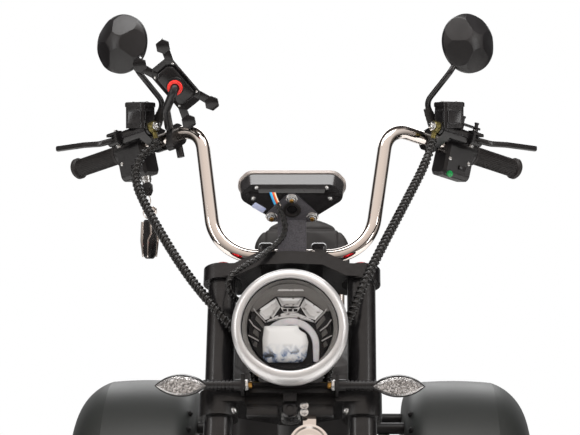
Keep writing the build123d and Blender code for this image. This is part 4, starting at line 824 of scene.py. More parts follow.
def into_lamp(piece, depth, lean=(0, 0)):
    """Sets a piece at a depth in mm behind the lamp's front, leaned about its middle in degrees."""
    middle = sum((corner.co for corner in piece.data.vertices), Vector()) / len(piece.data.vertices)
    turn = Matrix.Rotation(radians(lean[0]), 4, "X") @ Matrix.Rotation(radians(lean[1]), 4, "Y")
    about = Matrix.Translation(middle) @ turn @ Matrix.Translation(-middle)
    piece.data.transform(lamp_frame @ Matrix.Translation((0, 0, -depth / 1000)) @ about)
    return piece


def inset_top(piece, *steps, way=1):
    """Insets the faces that look up, or down, in steps of thickness and depth in mm."""
    pick_faces(piece, lambda middle, normal: normal.z * way > 0.9)
    for thickness, depth in steps:
        bpy.ops.mesh.inset(thickness=thickness / 1000, depth=depth / 1000)
    bpy.ops.object.mode_set(mode="OBJECT")


# Satin chrome: bead-blasted, so the room blurs to a soft silver
satin_chrome = grained(
    "satin chrome",
    colour="#d9d8d8",
    rough=(1, 2, 0.26, 0.38),
    relief=(1, 2, 0.08, 0.1),
    gloss={"Metallic": 0.7},
)
trim_ring = turned(
    "lamp_trim_ring",
    [
        (82.2, -12), (82.2, -4), (83.4, -1.4), (86, -0.2), (90, -1.0), (94.5, -4.2), (97.4, -9),
        (98.5, -15), (98.3, -21), (97, -24), (90, -24), (84, -16), (82.2, -12),
    ],
    96,
    loop=True,
)
ring_radius, lip_rise, lip_width = 0.0985, 0.009, 0.0163
for corner in trim_ring.data.vertices:
    out = hypot(corner.co.x, corner.co.y)
    if corner.co.y < 0:
        corner.co.y += lip_rise * min(1, (ring_radius - out) / lip_width) * -corner.co.y / out
into_lamp(trim_ring, 0)
fit(trim_ring, "steering", satin_chrome)
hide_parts("headlamp_ring")
dress(satin_chrome, "headlamp_ring")
dress(gloss_black, "headlamp_bowl")

# Clear polycarbonate: almost unseen, only its gloss shows
clear_lens = grained(
    "clear polycarbonate", colour="#14161a", rough=(50, 2, 0.02, 0.06), gloss={"IOR": 1.58, "Alpha": 0.1}
)
dress(clear_lens, "headlamp_lens")

# Grey moulding: satin, with a fine grain that softens its highlights
lamp_grey = grained(
    "dark grey satin ABS",
    colour=(1.2, 3, ((0.3, "#73706d"), (0.7, "#827f7b"))),
    rough=0.45,
    relief=(1.2, 3, 0.1, 0.2),
)

lamp_cup = turned(
    "lamp_cup",
    [
        (0.5, -52), (70, -52), (72, -44), (74, -30), (81, -18.5), (81.5, -24.6), (88, -25), (88, -56),
        (0.5, -56),
    ],
    96,
)
into_lamp(lamp_cup, 0)
fit(lamp_cup, "steering", moulded_abs, angle=30)
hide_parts("headlamp_modules")

bezel_section = [(73.4, -30), (80.6, -18.2), (81.2, -20), (77, -27), (74.6, -33), (73.4, -30)]
bezel_ring = turned("lamp_bezel_ring", bezel_section, 96, loop=True)
roof_arc = [(75.5 * cos(radians(turn)), 75.5 * sin(radians(turn))) for turn in range(22, 159, 8)]
roof = plate("lamp_roof", roof_arc + [(-60, 27), (-56, 30), (-25, 53), (25, 53), (56, 30), (60, 27)], 3)
inset_top(roof, (2.5, -1.2))
into_lamp(roof, 33, (14, 0))
into_lamp(bezel_ring, 0)
lamp_roof = gather("lamp_roof", [roof, bezel_ring])
fit(lamp_roof, "steering", lamp_grey, edge=0.4)

# Mirror cells: vacuum-metallised plastic, its colour painted near white with dark streaks, a painted
# reflection of what it mirrors; each a shallow tray leaned its own way
mirror_coat_painted_reflection = grained(
    "vacuum-metallised plastic",
    # The colour stops paint the reflection: dark streaks among near white
    colour=(12, 1, ((0.33, "#3a3634"), (0.38, "#cfccca"), (0.43, "#ffffff"))),
    rough=(12, 1, 0.04, 0.12),
    relief=(12, 1, 0.25, 1.6),
    gloss={"Metallic": 0.3},
)

tray_edge = [(-27, 18), (-40, 10), (-22, 15.5), (0, 18), (22, 15.5), (40, 10), (27, 18)]
tray_edge += [(13, 25), (-13, 25)]
cells = []
for name, outline, depth, lean in (
    ("middle", [(-22, 52), (-14.5, 36.5), (14.5, 36.5), (22, 52)], 46, (-9, 0)),
    ("left", [(-25, 51), (-57, 28), (-43, 13), (-29, 18), (-17, 36)], 46, (-4, 10)),
    ("right", [(25, 51), (17, 36), (29, 18), (43, 13), (57, 28)], 46, (-4, -10)),
    ("tray", tray_edge, 47, (-22, 0)),
):
    cell = plate("lamp_cell_" + name, outline, 7)
    inset_top(cell, (1.6, 0), (4.0, -4.2))
    cells.append(into_lamp(cell, depth, lean))
strip = into_lamp(plate("lamp_strip", [(-22, 62), (24, 62), (21, 65), (-19, 65)], 4.0), 31.5)
board = plate("lamp_board", [(-17, 36), (-12, 27), (0, 24.5), (12, 27), (17, 36), (8, 33.5), (-8, 33.5)], 9)
lamp_cells = gather("lamp_mirror_cells", cells + [strip, into_lamp(board, 50)])
fit(lamp_cells, "steering", mirror_coat_painted_reflection, edge=0.3)

# Light chips: three dark squares in a row on the bright board under the middle cell
chip_edge = [(-3.4, 28), (3.4, 28), (3.4, 32.6), (-3.4, 32.6)]
chips = [plate("lamp_chip", [(middle + x, y) for x, y in chip_edge], 10.5) for middle in (-9, 0, 9)]
lamp_chips = into_lamp(gather("lamp_chips", chips), 50)
fit(lamp_chips, "steering", gloss_black, edge=0.5)

# Opal acrylic: milky, a little of the room's light glows through it
opal_acrylic = grained(
    "opal acrylic",
    colour=(20, 2, ((0.3, "#d5d3d6"), (0.7, "#e9e8ea"))),
    rough=0.22,
    gloss={"IOR": 1.49, "Coat Weight": 0.6, "Subsurface Weight": 0.2, "Subsurface Scale": 0.004},
)

arch = [radians(turn) for turn in range(142, -1, -8)]
outer = [(50 * cos(turn), 47 * sin(turn) - 30) for turn in arch] + [(50, -32), (49.5, -58)]
inner = [(39, -58), (38, -32)] + [(38 * cos(turn), 34.5 * sin(turn) - 30) for turn in reversed(arch)]
light_guide = into_lamp(plate("lamp_light_guide", list(reversed(outer + inner)), 17), 50)
fit(light_guide, "steering", opal_acrylic, edge=3.2)

# Clear acrylic optic: a thick block painted near white as painted brightness, with painted blue glints
# in its lower edge that stand in for the mirror behind it
optic_painted_bright, tree = new_tree("clear acrylic optic")
place = add_node(tree, "TexCoord")
edge_on = add_node(tree, "SeparateXYZ", {"Vector": place.outputs["Object"]})
# Below this height the colour is the painted glint, above it the painted near white
low = add_node(tree, "MapRange", {"Value": edge_on.outputs["Z"], "From Min": 0.742, "From Max": 0.762})
ripples = {"Scale": 1 / 0.012, "Detail": 2, "Distortion": 0.5}
glint = add_node(tree, "TexNoise", {"Vector": place.outputs["Object"], **ripples})
glass = add_node(tree, "ValToRGB", {"Fac": glint.outputs["Fac"]})
set_stops(glass, ((0.36, "#2d3238"), (0.44, "#7d8fae"), (0.52, "#d6dbe2"), (0.66, "#f3f3f1")))
tone = add_node(
    tree,
    "Mix",
    {0: low.outputs["Result"], 6: glass.outputs["Color"], 7: linear("#fbfbfa")},
    data_type="RGBA",
)
give_surface(
    tree,
    {
        "Base Color": tone.outputs[2], "Roughness": 0.05, "IOR": 1.49, "Coat Weight": 1.0,
        "Coat Roughness": 0.02,
    },
)
optic = plate(
    "lamp_optic",
    [
        (-44, 3), (-47, -20), (-46, -52), (-38, -59), (20, -59), (29, -48), (31, -24), (27, -10), (15, -3),
        (14, 4),
    ],
    20,
)
inset_top(optic, (9, 6))
into_lamp(optic, 50)
fit(optic, "steering", optic_painted_bright, edge=2.5)

# Vanes: bright edges on thin grey fins, three each side, stepped down round the optic
vanes, webs = [], []
for side in (-1, 1):
    for (ax, ay), (bx, by), (cx, cy) in (
        ((65, 40), (58, 28), (41, 10)),
        ((69, 15), (62, 5), (50, -4)),
        ((70, -12), (62, -16), (53, -21)),
    ):
        edge = [(ax, ay), (bx, by), (cx, cy)]
        edge += [(cx + 0.8, cy - 1.6), (bx + 0.9, by - 1.8), (ax + 1.4, ay - 1.2)]
        web = [(bx - 2, by - 4), (cx + 3, cy - 4), (cx + 4, cy - 12), (bx + 2, by - 13)]
        vanes.append(into_lamp(plate("lamp_vane", [(side * x, y) for x, y in edge], 14), 50))
        webs.append(into_lamp(plate("lamp_web", [(side * x, y) for x, y in web], 5), 51))
lamp_vanes = gather("lamp_vanes", vanes)
fit(lamp_vanes, "steering", satin_chrome)
lamp_webs = gather("lamp_webs", webs)
fit(lamp_webs, "steering", lamp_grey, edge=0.5)

# Indicators: leaf-shaped lamps on ribbed rubber stems, clamped through the bracket's ears by a zinc
# nut over a brass spacer. Their clear lenses are pebbled inside and silvered behind.
dress(moulded_abs, "indicators")

# Pebbled lens: clear over silver, each pebble of 2 mm painted its own grey as a painted flash, and tilted
# its own way by the bump
pebbled_lens, tree = new_tree("pebbled clear lens")
place = add_node(tree, "TexCoord")
pebble = add_node(tree, "TexVoronoi", {"Vector": place.outputs["Object"], "Scale": 1 / 0.0022})
# Each pebble's grey, picked at random, is a painted flash of light off it
shade = add_node(tree, "SeparateColor", {"Color": pebble.outputs["Color"]})
tone = add_node(tree, "ValToRGB", {"Fac": shade.outputs["Red"]})
set_stops(tone, ((0.1, "#7d7a78"), (0.4, "#b5b2b0"), (0.8, "#e4e2e1")))
bump = add_node(tree, "Bump", {"Height": pebble.outputs["Distance"], "Strength": 0.5, "Distance": 0.0008})
give_surface(
    tree,
    {
        "Base Color": tone.outputs["Color"], "Metallic": 0.75, "Roughness": 0.16, "Coat Weight": 1.0,
        "Coat Roughness": 0.03, "Normal": bump.outputs["Normal"],
    },
)
dress(pebbled_lens, "indicator_lenses")

# Brass: warm and dull, as turned
turned_brass = grained(
    "turned brass", colour=(3, 3, ((0.3, "#a97a3a"), (0.7, "#d2a45c"))), rough=0.3, gloss={"Metallic": 1}
)

signal_nuts = repeat(
    "indicator_nuts",
    turned("indicator_nut", [(9, 0), (9.6, 1), (9.6, 6), (8.6, 7), (4, 7)], 6),
    [(fork_spot(side * 76.7, -50, 480.3), (-side, 0, 0), fork_up) for side in (-1, 1)],
)
fit(signal_nuts, "steering", bright_zinc)
signal_spacers = repeat(
    "indicator_spacers",
    turned("indicator_spacer", [(6, 0), (6, 5), (5.2, 6), (3, 6.5), (0.5, 6.5)], 24),
    [(fork_spot(side * 69.6, -50, 480.3), (-side, 0, 0), fork_up) for side in (-1, 1)],
)
fit(signal_spacers, "steering", turned_brass)

# Handlebar fittings: two chromed dome nuts on the upper clamp, one at each side of the dash bracket's
# foot, close the studs that hold the risers down.
nut_rings = [(10, 0), (10, 2.2), (8.4, 2.6), (8.4, 8), (7.2, 12), (4.5, 14.5), (0.8, 15.3)]
riser_nuts = repeat(
    "riser_nuts",
    turned("riser_nut", nut_rings, 30),
    [(fork_spot(side * 34, -16, 733.2), fork_up, -fork_back) for side in (-1, 1)],
)
fit(riser_nuts, "steering", bright_chrome)

# Grips: moulded rubber with long ribs and a flange at each end, pushed onto the bar's ends. The bar's
# outer stretch, where the hand controls sit, gives them and the controls their frame.
bar_out = Vector((0.80972, 0.53118, -0.24939))
bar_up = Vector((0.20853, 0.13680, 0.96840))
bar_back = Vector((-0.54851, 0.83614, 0.0))
bar_corner = spot(173, 490, 1134)


def sided(side, vector):
    """A vector on the left of the bike, or its mirror image on the right."""
    return Vector((side * vector[0], vector[1], vector[2]))


def bar_spot(side, along, back, up):
    """A point by a grip, from mm along the bar past its upper corner, behind it and above it."""
    return sided(side, bar_corner + (bar_out * along + bar_back * back + bar_up * up) / 1000)


def by_both_grips(along, back, up, out, top):
    """Places by both grips for repeat(), with the left one's outward and upward directions."""
    return [(bar_spot(side, along, back, up), sided(side, out), sided(side, top)) for side in (-1, 1)]


# Grip rubber: soft black, worn smoother in patches
grip_rubber = grained(
    "soft grip rubber",
    colour=(12, 4, ((0.3, "#191717"), (0.75, "#262322"))),
    rough=(12, 4, 0.45, 0.65),
    gloss={"Specular IOR Level": 0.4},
)

grip_sides = 64
grip = turned(
    "grip",
    [
        (0.5, 315.2), (12, 315), (18, 314), (20.5, 311), (20.5, 305), (17.2, 303), (16.4, 302), (16.4, 208),
        (17.2, 207), (20.5, 205.5), (20.5, 200.2), (12.9, 200),
    ],
    grip_sides,
)
pick_faces(
    grip, lambda middle, normal: 0.21 < middle.z < 0.30 and step_round(middle, grip_sides) % 2 == 0
)
bpy.ops.mesh.extrude_region_shrink_fatten(TRANSFORM_OT_shrink_fatten={"value": 0.0011})
bpy.ops.object.mode_set(mode="OBJECT")
ribbed_grips = repeat("ribbed_grips", grip, by_both_grips(0, 0, 0, bar_out, bar_up))
fit(ribbed_grips, "steering", grip_rubber, angle=30)
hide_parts("grips")

# Switch housings: moulded halves round the bar, held by screws from the front. Both have a slide
# switch, and the left one a green button.
dress(moulded_abs, "switch_housings")

housing_screws = repeat(
    "housing_screws",
    turned("housing_screw", [(4.2, 0), (4.2, 1.2), (3.2, 2.4), (1.8, 2.8), (1.6, 1.6), (0.4, 1.6)], 20),
    [
        place
        for along in (138, 182)
        for place in by_both_grips(along, -22.6, -24, bar_up * 0.12 - bar_back, bar_up)
    ],
)
fit(housing_screws, "steering", bright_zinc)

# Green ABS: a saturated, glossy moulding
green_abs = grained("green gloss ABS", colour=(4, 2, ((0.3, "#0a7a3c"), (0.7, "#12944b"))), rough=0.25)
green_button = turned("green_button", [(6, -2), (6, 3), (5, 5), (2.5, 5.8), (0.5, 5.9)], 28)
green_button.data.transform(frame_at(bar_spot(1, 144, -21, -52), -bar_back - bar_up * 0.5, bar_up))
fit(green_button, "steering", green_abs)

# Slide switches: black caps on the front of both housings
slide_switches = repeat(
    "slide_switches",
    bar_block("slide_switch", 16, 8, 5),
    [
        (bar_spot(side, along, -24, -36), sided(side, -bar_back), sided(side, bar_up))
        for side, along in ((1, 168), (-1, 152))
    ],
)
fit(slide_switches, "steering", gloss_black, edge=1.5)

# Brake fittings: olive zinc banjos on bright bolts feed the hoses, and two screws hold each
# reservoir's lid. The left lever carries a small parking latch on two posts.

# Olive zinc: yellow-green passivation, blotchy and half bright
olive_zinc = grained(
    "olive passivated zinc",
    colour=(5, 4, ((0.3, "#4a4426"), (0.7, "#8a7f4c"))),
    rough=0.36,
    gloss={"Metallic": 0.85},
)
dress(olive_zinc, "hose_fittings")

banjo_bolts = repeat(
    "banjo_bolts",
    bolt_head("banjo_bolt", 6.2, 7),
    by_both_grips(73.6, -38, 20, -bar_out, bar_up),
)
fit(banjo_bolts, "steering", bright_zinc)

level_out = Vector((bar_out.x, bar_out.y, 0)).normalized()
tank_foot = bar_corner + (bar_out * 110 + bar_back * -38 + bar_up * 26) / 1000
lid_screws = repeat(
    "lid_screws",
    turned("lid_screw", [(3.6, -1), (3.6, 0.6), (2.8, 1.4), (1.6, 1.6), (1.4, 0.6), (0.4, 0.6)], 20),
    [
        (sided(side, tank_foot + level_out * shift + Vector((0, 0, 0.049))), (0, 0, 1), (0, 1, 0))
        for side in (-1, 1)
        for shift in (-0.016, 0.016)
    ],
)
fit(lid_screws, "steering", bright_zinc)


def cut_corners(wide, tall, cut):
    """The outline of a rectangle, from half its sizes in mm, with its corners cut off."""
    half = [(-wide, cut - tall), (cut - wide, -tall), (wide - cut, -tall), (wide, cut - tall)]
    return half + [(-x, -y) for x, y in half]


# Each reservoir has a raised border cast on the two faces that show from the front
panels = []
for side in (-1, 1):
    for facing, reach, half in (
        (Vector((level_out.y, -level_out.x, 0)), 18.4, 17.5),
        (-level_out, 22.4, 13.5),
    ):
        panel = plate("reservoir_panel", cut_corners(half, 14, 4), 1.6)
        inset_top(panel, (2.2, 0), (0.8, -1.2))
        middle = tank_foot + facing * (reach / 1000) + Vector((0, 0, 0.021))
        panel.data.transform(frame_at(sided(side, middle), sided(side, facing), (0, 0, 1)))
        panels.append(panel)
reservoir_panels = gather("reservoir_panels", panels)
fit(reservoir_panels, "steering", gloss_black, edge=0.3)

pivot_screws = repeat(
    "lever_pivots",
    bolt_head("lever_pivot", 4.2, 4),
    by_both_grips(164, -44, 33, bar_up, bar_out) + by_both_grips(164, -44, 7, -bar_up, bar_out),
)
fit(pivot_screws, "steering", bright_zinc)

latch_plate = plate("latch_plate", [(-6, -6), (40, -6), (46, 0), (40, 6), (-6, 6), (-11, 0)], 3)
latch_posts = [
    turned("latch_post", [(5, -6), (5, 0), (3.6, 0.5), (3.6, 9), (4.6, 10), (4.6, 12), (0.5, 12.4)], 20),
    turned("latch_post", [(4, -12), (4, 3), (3.2, 3.5), (3.2, 12), (4.4, 13), (4.4, 16), (0.5, 16.4)], 20),
]
latch_posts[1].data.transform(Matrix.Translation((0.033, 0, 0)))
park_latch = gather("park_latch", [latch_plate] + latch_posts)
park_latch.data.transform(frame_at(bar_spot(1, 166, -44, 39.4), bar_up, -bar_back))
fit(park_latch, "steering", gloss_black, edge=0.6)

# Mirrors: domed ABS shells with soft facets, on bent rods, each rod's root in a rubber boot on the
# brake clamp. A shell is one moulding, and its glass is pressed in from behind.
dress(moulded_abs, "mirror_shells")
mirror_yaw, mirror_pitch = radians(30), radians(6)
mirror_away = Vector(
    (sin(mirror_yaw) * cos(mirror_pitch), -cos(mirror_yaw) * cos(mirror_pitch), sin(mirror_pitch))
)
dome_radius, dome_back, facet_cut, facet_lean = 73.3, 39.3, 4.6, radians(32)
shell = turned(
    "mirror_shell",
    [(56, 0), (56, 8)]
    + [
        (dome_radius * sin(radians(turn)), dome_radius * cos(radians(turn)) - dome_back)
        for turn in (46, 42, 38, 34, 30, 26, 22, 18, 14, 10, 6, 2, 0.4)
    ],
    72,
)
for turn in (70, 142, 214, 286, 358):
    facing = Vector((sin(facet_lean), 0, cos(facet_lean)))
    facing.rotate(Matrix.Rotation(radians(turn), 3, "Z"))
    bpy.ops.object.mode_set(mode="EDIT")
    bpy.ops.mesh.select_all(action="SELECT")
    bpy.ops.mesh.bisect(
        plane_co=(facing * (dome_radius - facet_cut) - Vector((0, 0, dome_back))) / 1000,
        plane_no=facing,
        use_fill=True,
        clear_outer=True,
    )
    bpy.ops.object.mode_set(mode="OBJECT")
shape(shell, "BEVEL", width=0.0016, segments=3, limit_method="ANGLE", angle_limit=radians(9))
mirror_centre = spot(322.0, 541.6, 1290.2)
domed_shells = repeat(
    "domed_mirror_shells",
    shell,
    [(sided(side, mirror_centre), sided(side, mirror_away), (0, 0, 1)) for side in (-1, 1)],
)
fit(domed_shells, "steering", moulded_abs, angle=30)
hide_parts("mirror_shells")

# Mirror glass: silvered behind, with a hard clean reflection and a faint blue
mirror_glass = grained(
    "silvered mirror glass", colour="#dfe4ea", rough=(40, 2, 0.01, 0.05), gloss={"Metallic": 1}
)
dress(mirror_glass, "mirror_glasses")

boot_lean = Vector((-16, -6, 44)) - bar_up * 6
boot_rings = [(10.6, -4), (11, 0), (10.8, 8), (9.6, 14), (10, 16), (8.6, 22), (9, 24), (7.4, 31), (6.8, 36)]
mirror_boots = repeat(
    "mirror_boots",
    turned("mirror_boot", boot_rings + [(5.4, 36.5)], 30),
    by_both_grips(100, -4, 29, boot_lean, bar_out),
)
fit(mirror_boots, "steering", grip_rubber, angle=60)

# Dash: a shallow moulded tray with a silver rim, seen here from behind. Three flange nuts hold it to
# a bent plate with a grommet. A coloured ribbon leaves its back, and a blank vinyl patch sits beside.
dash_frame = frame_at(spot(0, 320.6, 1000.5), (0, -0.81915, -0.57358), (0, -0.57358, 0.81915))


def onto_dash(piece, x, y, z, turn=0.0):
    """Sets a piece on the dash's back at x, y and height z in mm, turned in its plane in degrees."""
    place = Matrix.Translation((x / 1000, y / 1000, z / 1000)) @ Matrix.Rotation(radians(turn), 4, "Z")
    piece.data.transform(dash_frame @ place)
    return piece


# Glossy ABS: black, polished in the mould, so its slopes catch the light from above
glossy_abs = grained(
    "glossy black ABS",
    colour=(30, 2, ((0.3, "#1d1c1d"), (0.7, "#2a292a"))),
    rough=(30, 2, 0.14, 0.26),
    gloss={"Coat Weight": 0.4},
)
dress(glossy_abs, "dash_housing")

# Silver plastic: warm metallic paint over a moulding
silver_paint = grained(
    "warm silver paint",
    colour=(0.8, 2, ((0.3, "#b9aea8"), (0.7, "#d8cfc9"))),
    rough=0.35,
    gloss={"Metallic": 0.8},
)
dress(silver_paint, "dash_rim")

# Smoked glass: near black, with a clear gloss
smoked_glass = grained(
    "smoked dash glass", colour="#0a0b0d", rough=(60, 2, 0.03, 0.08), gloss={"Coat Weight": 0.5}
)
dress(smoked_glass, "dash_glass")

# Wrinkle paint: grey-black with a close sandy grain of 1.5 mm
wrinkle_paint = grained(
    "grey-black wrinkle paint",
    colour=(1.5, 3, ((0.32, "#3b3a3e"), (0.7, "#5e5c61"))),
    rough=0.5,
    relief=(1.5, 3, 0.4, 0.5),
)
dress(wrinkle_paint, "dash_bracket")

hexagon_rings = [(9.2, 6.3), (9.2, 7.4), (7.6, 8.2), (7.2, 8.4), (7.2, 13), (6.2, 14), (3, 14)]
nuts, studs = [], []
for x, y in ((0, 8), (-35.6, -31.5), (35.6, -31.5)):
    nut = turned("flange_nut", hexagon_rings, 6)
    flange = turned("flange", [(10.4, 6.3), (10.4, 7.6), (8.6, 9.0), (5, 9.2)], 32)
    nuts += [onto_dash(nut, x, y, 0), onto_dash(flange, x, y, 0)]
    studs.append(onto_dash(turned("stud", [(3.6, 6), (3.6, 15), (2.8, 16.2), (0.5, 16.4)], 20), x, y, 0))
dash_nuts = gather("dash_nuts", nuts)
fit(dash_nuts, "steering", bright_zinc, edge=0.3)
dash_stud_ends = gather("dash_stud_ends", studs)
fit(dash_stud_ends, "steering", turned_brass)

grommet_section = [(9.5, 2), (13.6, 2), (13.6, 5.6), (16, 6.4), (16.4, 7.6), (15, 9), (11, 9), (9.5, 7.5)]
grommet = turned("dash_grommet", grommet_section + grommet_section[:1], 40, loop=True)
onto_dash(grommet, 0, -16, 0)
fit(grommet, "steering", grip_rubber)

screw_rings = [(4.4, -0.5), (4.4, 1.4), (3.4, 2.6), (1.6, 2.9), (1.4, 1.6), (0.4, 1.6)]
screws = [
    onto_dash(turned("dash_screw", screw_rings, 20), x, y, z)
    for x, y, z in ((-67, 6, 3), (67, 6, 3), (-61, 27, 0), (61, 27, 0))
]
dash_screws = gather("dash_screws", screws)
fit(dash_screws, "steering", bright_zinc)

# The sloping shelf under the tray's upper edge, which catches the light from above
shelf = plate("dash_shelf", [(-57, 20), (57, 20), (61, 33), (-61, 33)], 7)
for corner in shelf.data.vertices:
    if corner.co.y > 0.03 and corner.co.z > 0.001:
        corner.co.z = 0.0006
onto_dash(shelf, 0, 0, -0.2)
fit(shelf, "steering", glossy_abs, edge=0.6)

# Vinyl patch: blank, pale lavender, with a soft gloss
patch_vinyl = grained(
    "blank lavender vinyl", colour=(8, 3, ((0.3, "#b9c3ea"), (0.7, "#d3daf4"))), rough=0.35
)
patch = plate("blank_patch", cut_corners(12, 6, 1.5), 0.5)
onto_dash(patch, -58, -14, 3.0, -36)
fit(patch, "steering", patch_vinyl, edge=0.1)

# Phone cradle: a black moulding with four padded claws on a ball joint, clamped to the right-hand
# bar. A red ring locks the joint, and small screws hold the moulding together.
dress(moulded_abs, "phone_cradle", "phone_clamp")
cradle_centre = spot(-216, 458, 1210)
cradle_away = Vector((0, -0.951, -0.309))
cradle_long = Vector((-0.629, -0.240, 0.739))
cradle_frame = frame_at(cradle_centre, cradle_away, cradle_long)

# Red ABS: bright and glossy
red_abs = grained("red gloss ABS", colour=(6, 2, ((0.3, "#d81f1a"), (0.7, "#ee3328"))), rough=0.28)
ring_section = [(8.4, 18.5), (13.2, 18.5), (14, 19.4), (14, 22), (13, 23), (8.4, 23), (8.4, 18.5)]
red_ring = turned("cradle_red_ring", ring_section, 40, loop=True)
red_ring.data.transform(cradle_frame)
fit(red_ring, "steering", red_abs)

cradle_pieces = []
body = plate("cradle_body", cut_corners(26, 50, 12), 8)
block = plate("cradle_block", cut_corners(19, 37, 8), 5)
for piece, base, rim, sink in ((body, -8, 3, -1.4), (block, 0, 4, 1.6)):
    inset_top(piece, (rim, sink))
    piece.data.transform(Matrix.Translation((0, 0, base / 1000)))
    cradle_pieces.append(piece)
cradle_pieces.append(turned("cradle_boss", [(17, 4), (17, 8), (16, 9), (2, 9)], 40))
claw = [(cos(radians(turn)), sin(radians(turn))) for turn in range(0, 360, 60)]
for across in (-1, 1):
    for along in (-1, 1):
        for outline, base, thick in (
            ([(9, 33), (23, 29), (36, 62), (21, 66)], -7, 6),
            ([(28 + 14 * x, 69 + 14 * y) for x, y in claw], -8, 8),
            ([(21, 75), (35, 75), (35, 81), (21, 81)], -25, 24),
        ):
            piece = plate("cradle_claw", [(across * x, along * y) for x, y in outline], thick)
            piece.data.transform(Matrix.Translation((0, 0, base / 1000)))
            cradle_pieces.append(piece)
cradle_moulding = gather("cradle_moulding", cradle_pieces)
cradle_moulding.data.transform(cradle_frame)
fit(cradle_moulding, "steering", gloss_black, edge=0.9)
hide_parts("phone_cradle")

cradle_screws = repeat(
    "cradle_screws",
    turned("cradle_screw", [(2.4, -1.6), (2.4, 0.2), (1.8, 0.9), (1.0, 1.1), (0.9, 0.3), (0.3, 0.3)], 16),
    [
        (cradle_frame @ Vector((x / 1000, y / 1000, 0)), cradle_away, cradle_long)
        for x, y in ((-21, 34), (21, 34), (-21, -34), (21, -34))
    ],
)
fit(cradle_screws, "steering", bright_zinc)

# Brake hoses: rubber hose in a black spiral wrap, from each banjo down to the union on the lower
# clamp. The dash lead is a taped bundle that runs from the dash's ribbon to the lamp's gland.


def drawn(name, kind, points):
    """A curve of one spline of that kind, with points as its controls."""
    line = bpy.data.curves.new(name, "CURVE")
    line.dimensions = "3D"
    spline = line.splines.new(kind)
    spline.points.add(len(points) - 1)
    for control, point in zip(spline.points, points):
        control.co = (*point, 1)
    run = bpy.data.objects.new(name, line)
    bpy.context.scene.collection.objects.link(run)
    return run


def made_mesh(run):
    """The mesh of a curve, and the curve removed."""
    bpy.context.view_layer.update()
    mesh = bpy.data.meshes.new_from_object(run)
    bpy.data.objects.remove(run)
    return mesh


def smooth_line(name, route):
    """Close points along a smooth line past a route's points."""
    run = drawn(name, "NURBS", route)
    run.data.resolution_u = 24
    run.data.splines[0].order_u = 3
    run.data.splines[0].use_endpoint_u = True
    return [corner.co.copy() for corner in made_mesh(run).vertices]


def swept(name, points, radius, sides):
    """A round bar along close points, as a mesh."""
    run = drawn(name, "POLY", points)
    run.data.bevel_depth = radius
    run.data.bevel_resolution = sides
    run.data.use_fill_caps = True
    made = bpy.data.objects.new(name, made_mesh(run))
    bpy.context.scene.collection.objects.link(made)
    return made


def wound(points, radius, pitch, start=0.0):
    """Points of a helix of that radius and pitch about a line of points."""
    way = (points[1] - points[0]).normalized()
    side = way.orthogonal().normalized()
    turns, helix, fine = start, [], [points[0]]
    for near, far in zip(points, points[1:]):
        steps = max(1, int((far - near).length / (pitch / 10)))
        fine += [near.lerp(far, (step + 1) / steps) for step in range(steps)]
    for here, there in zip(fine, fine[1:]):
        ahead = (there - here).normalized()
        side = (side - ahead * side.dot(ahead)).normalized()
        turns += (there - here).length / pitch
        helix.append(here + (side * cos(2 * pi * turns) + ahead.cross(side) * sin(2 * pi * turns)) * radius)
    return helix


# Spiral wrap: black polypropylene, glossy, and scuffed duller in patches
spiral_wrap = grained(
    "black polypropylene wrap",
    colour=(6, 4, ((0.3, "#0f0e0e"), (0.75, "#1b1a19"))),
    rough=(6, 4, 0.18, 0.32),
)

hose_top = ((257.1, 499.7, 1112.1), (254.2, 497.8, 1098.9))
hose_end = ((84, 257.5, 759.6), (62, 262.3, 704.9), (62, 251.1, 683.8))
right_way = ((284, 492, 1082), (297, 476, 1040), (262, 421, 975), (188, 322, 872), (124, 245, 808))
left_way = ((240, 470, 1062), (217, 430, 1020), (134, 272, 876), (105, 243, 808))
for name, side, stations in (("brake_hose_right", -1, right_way), ("brake_hose_left", 1, left_way)):
    route = [spot(side * x, y, z) for x, y, z in hose_top + stations + hose_end]
    points = smooth_line(name + "_line", route)
    core = swept(name + "_core", points, 0.0064, 3)
    band = swept(name + "_band", wound(points, 0.0062, 0.0096), 0.0030, 2)
    wrapped = gather("wrapped_" + name, [core, band])
    fit(wrapped, "steering", spiral_wrap, angle=60)
    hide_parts(name)

lead_route = [
    spot(*point)
    for point in (
        (-34, 308.0, 1018.5), (-34, 296.5, 1010.5), (-4, 322, 950), (-36, 300, 912), (-110, 244, 872),
        (-106, 246, 838), (-64, 302, 806), (-30, 305.3, 781.4), (-30, 289.5, 783.6),
    )
]
points = smooth_line("dash_lead_line", lead_route)
bare = next(step for step in range(len(points)) if (points[step] - points[0]).length > 0.028)
covered = points[bare - 2 :]
taped = [
    swept("dash_lead_core", covered, 0.0044, 3),
    swept("dash_lead_tape", wound(covered, 0.0036, 0.017), 0.0024, 2),
    swept("dash_lead_tape", wound(covered, 0.0034, 0.017, 0.5), 0.0022, 2),
]
lead = gather("taped_dash_lead", taped)
fit(lead, "steering", spiral_wrap, angle=60)
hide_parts("dash_lead")

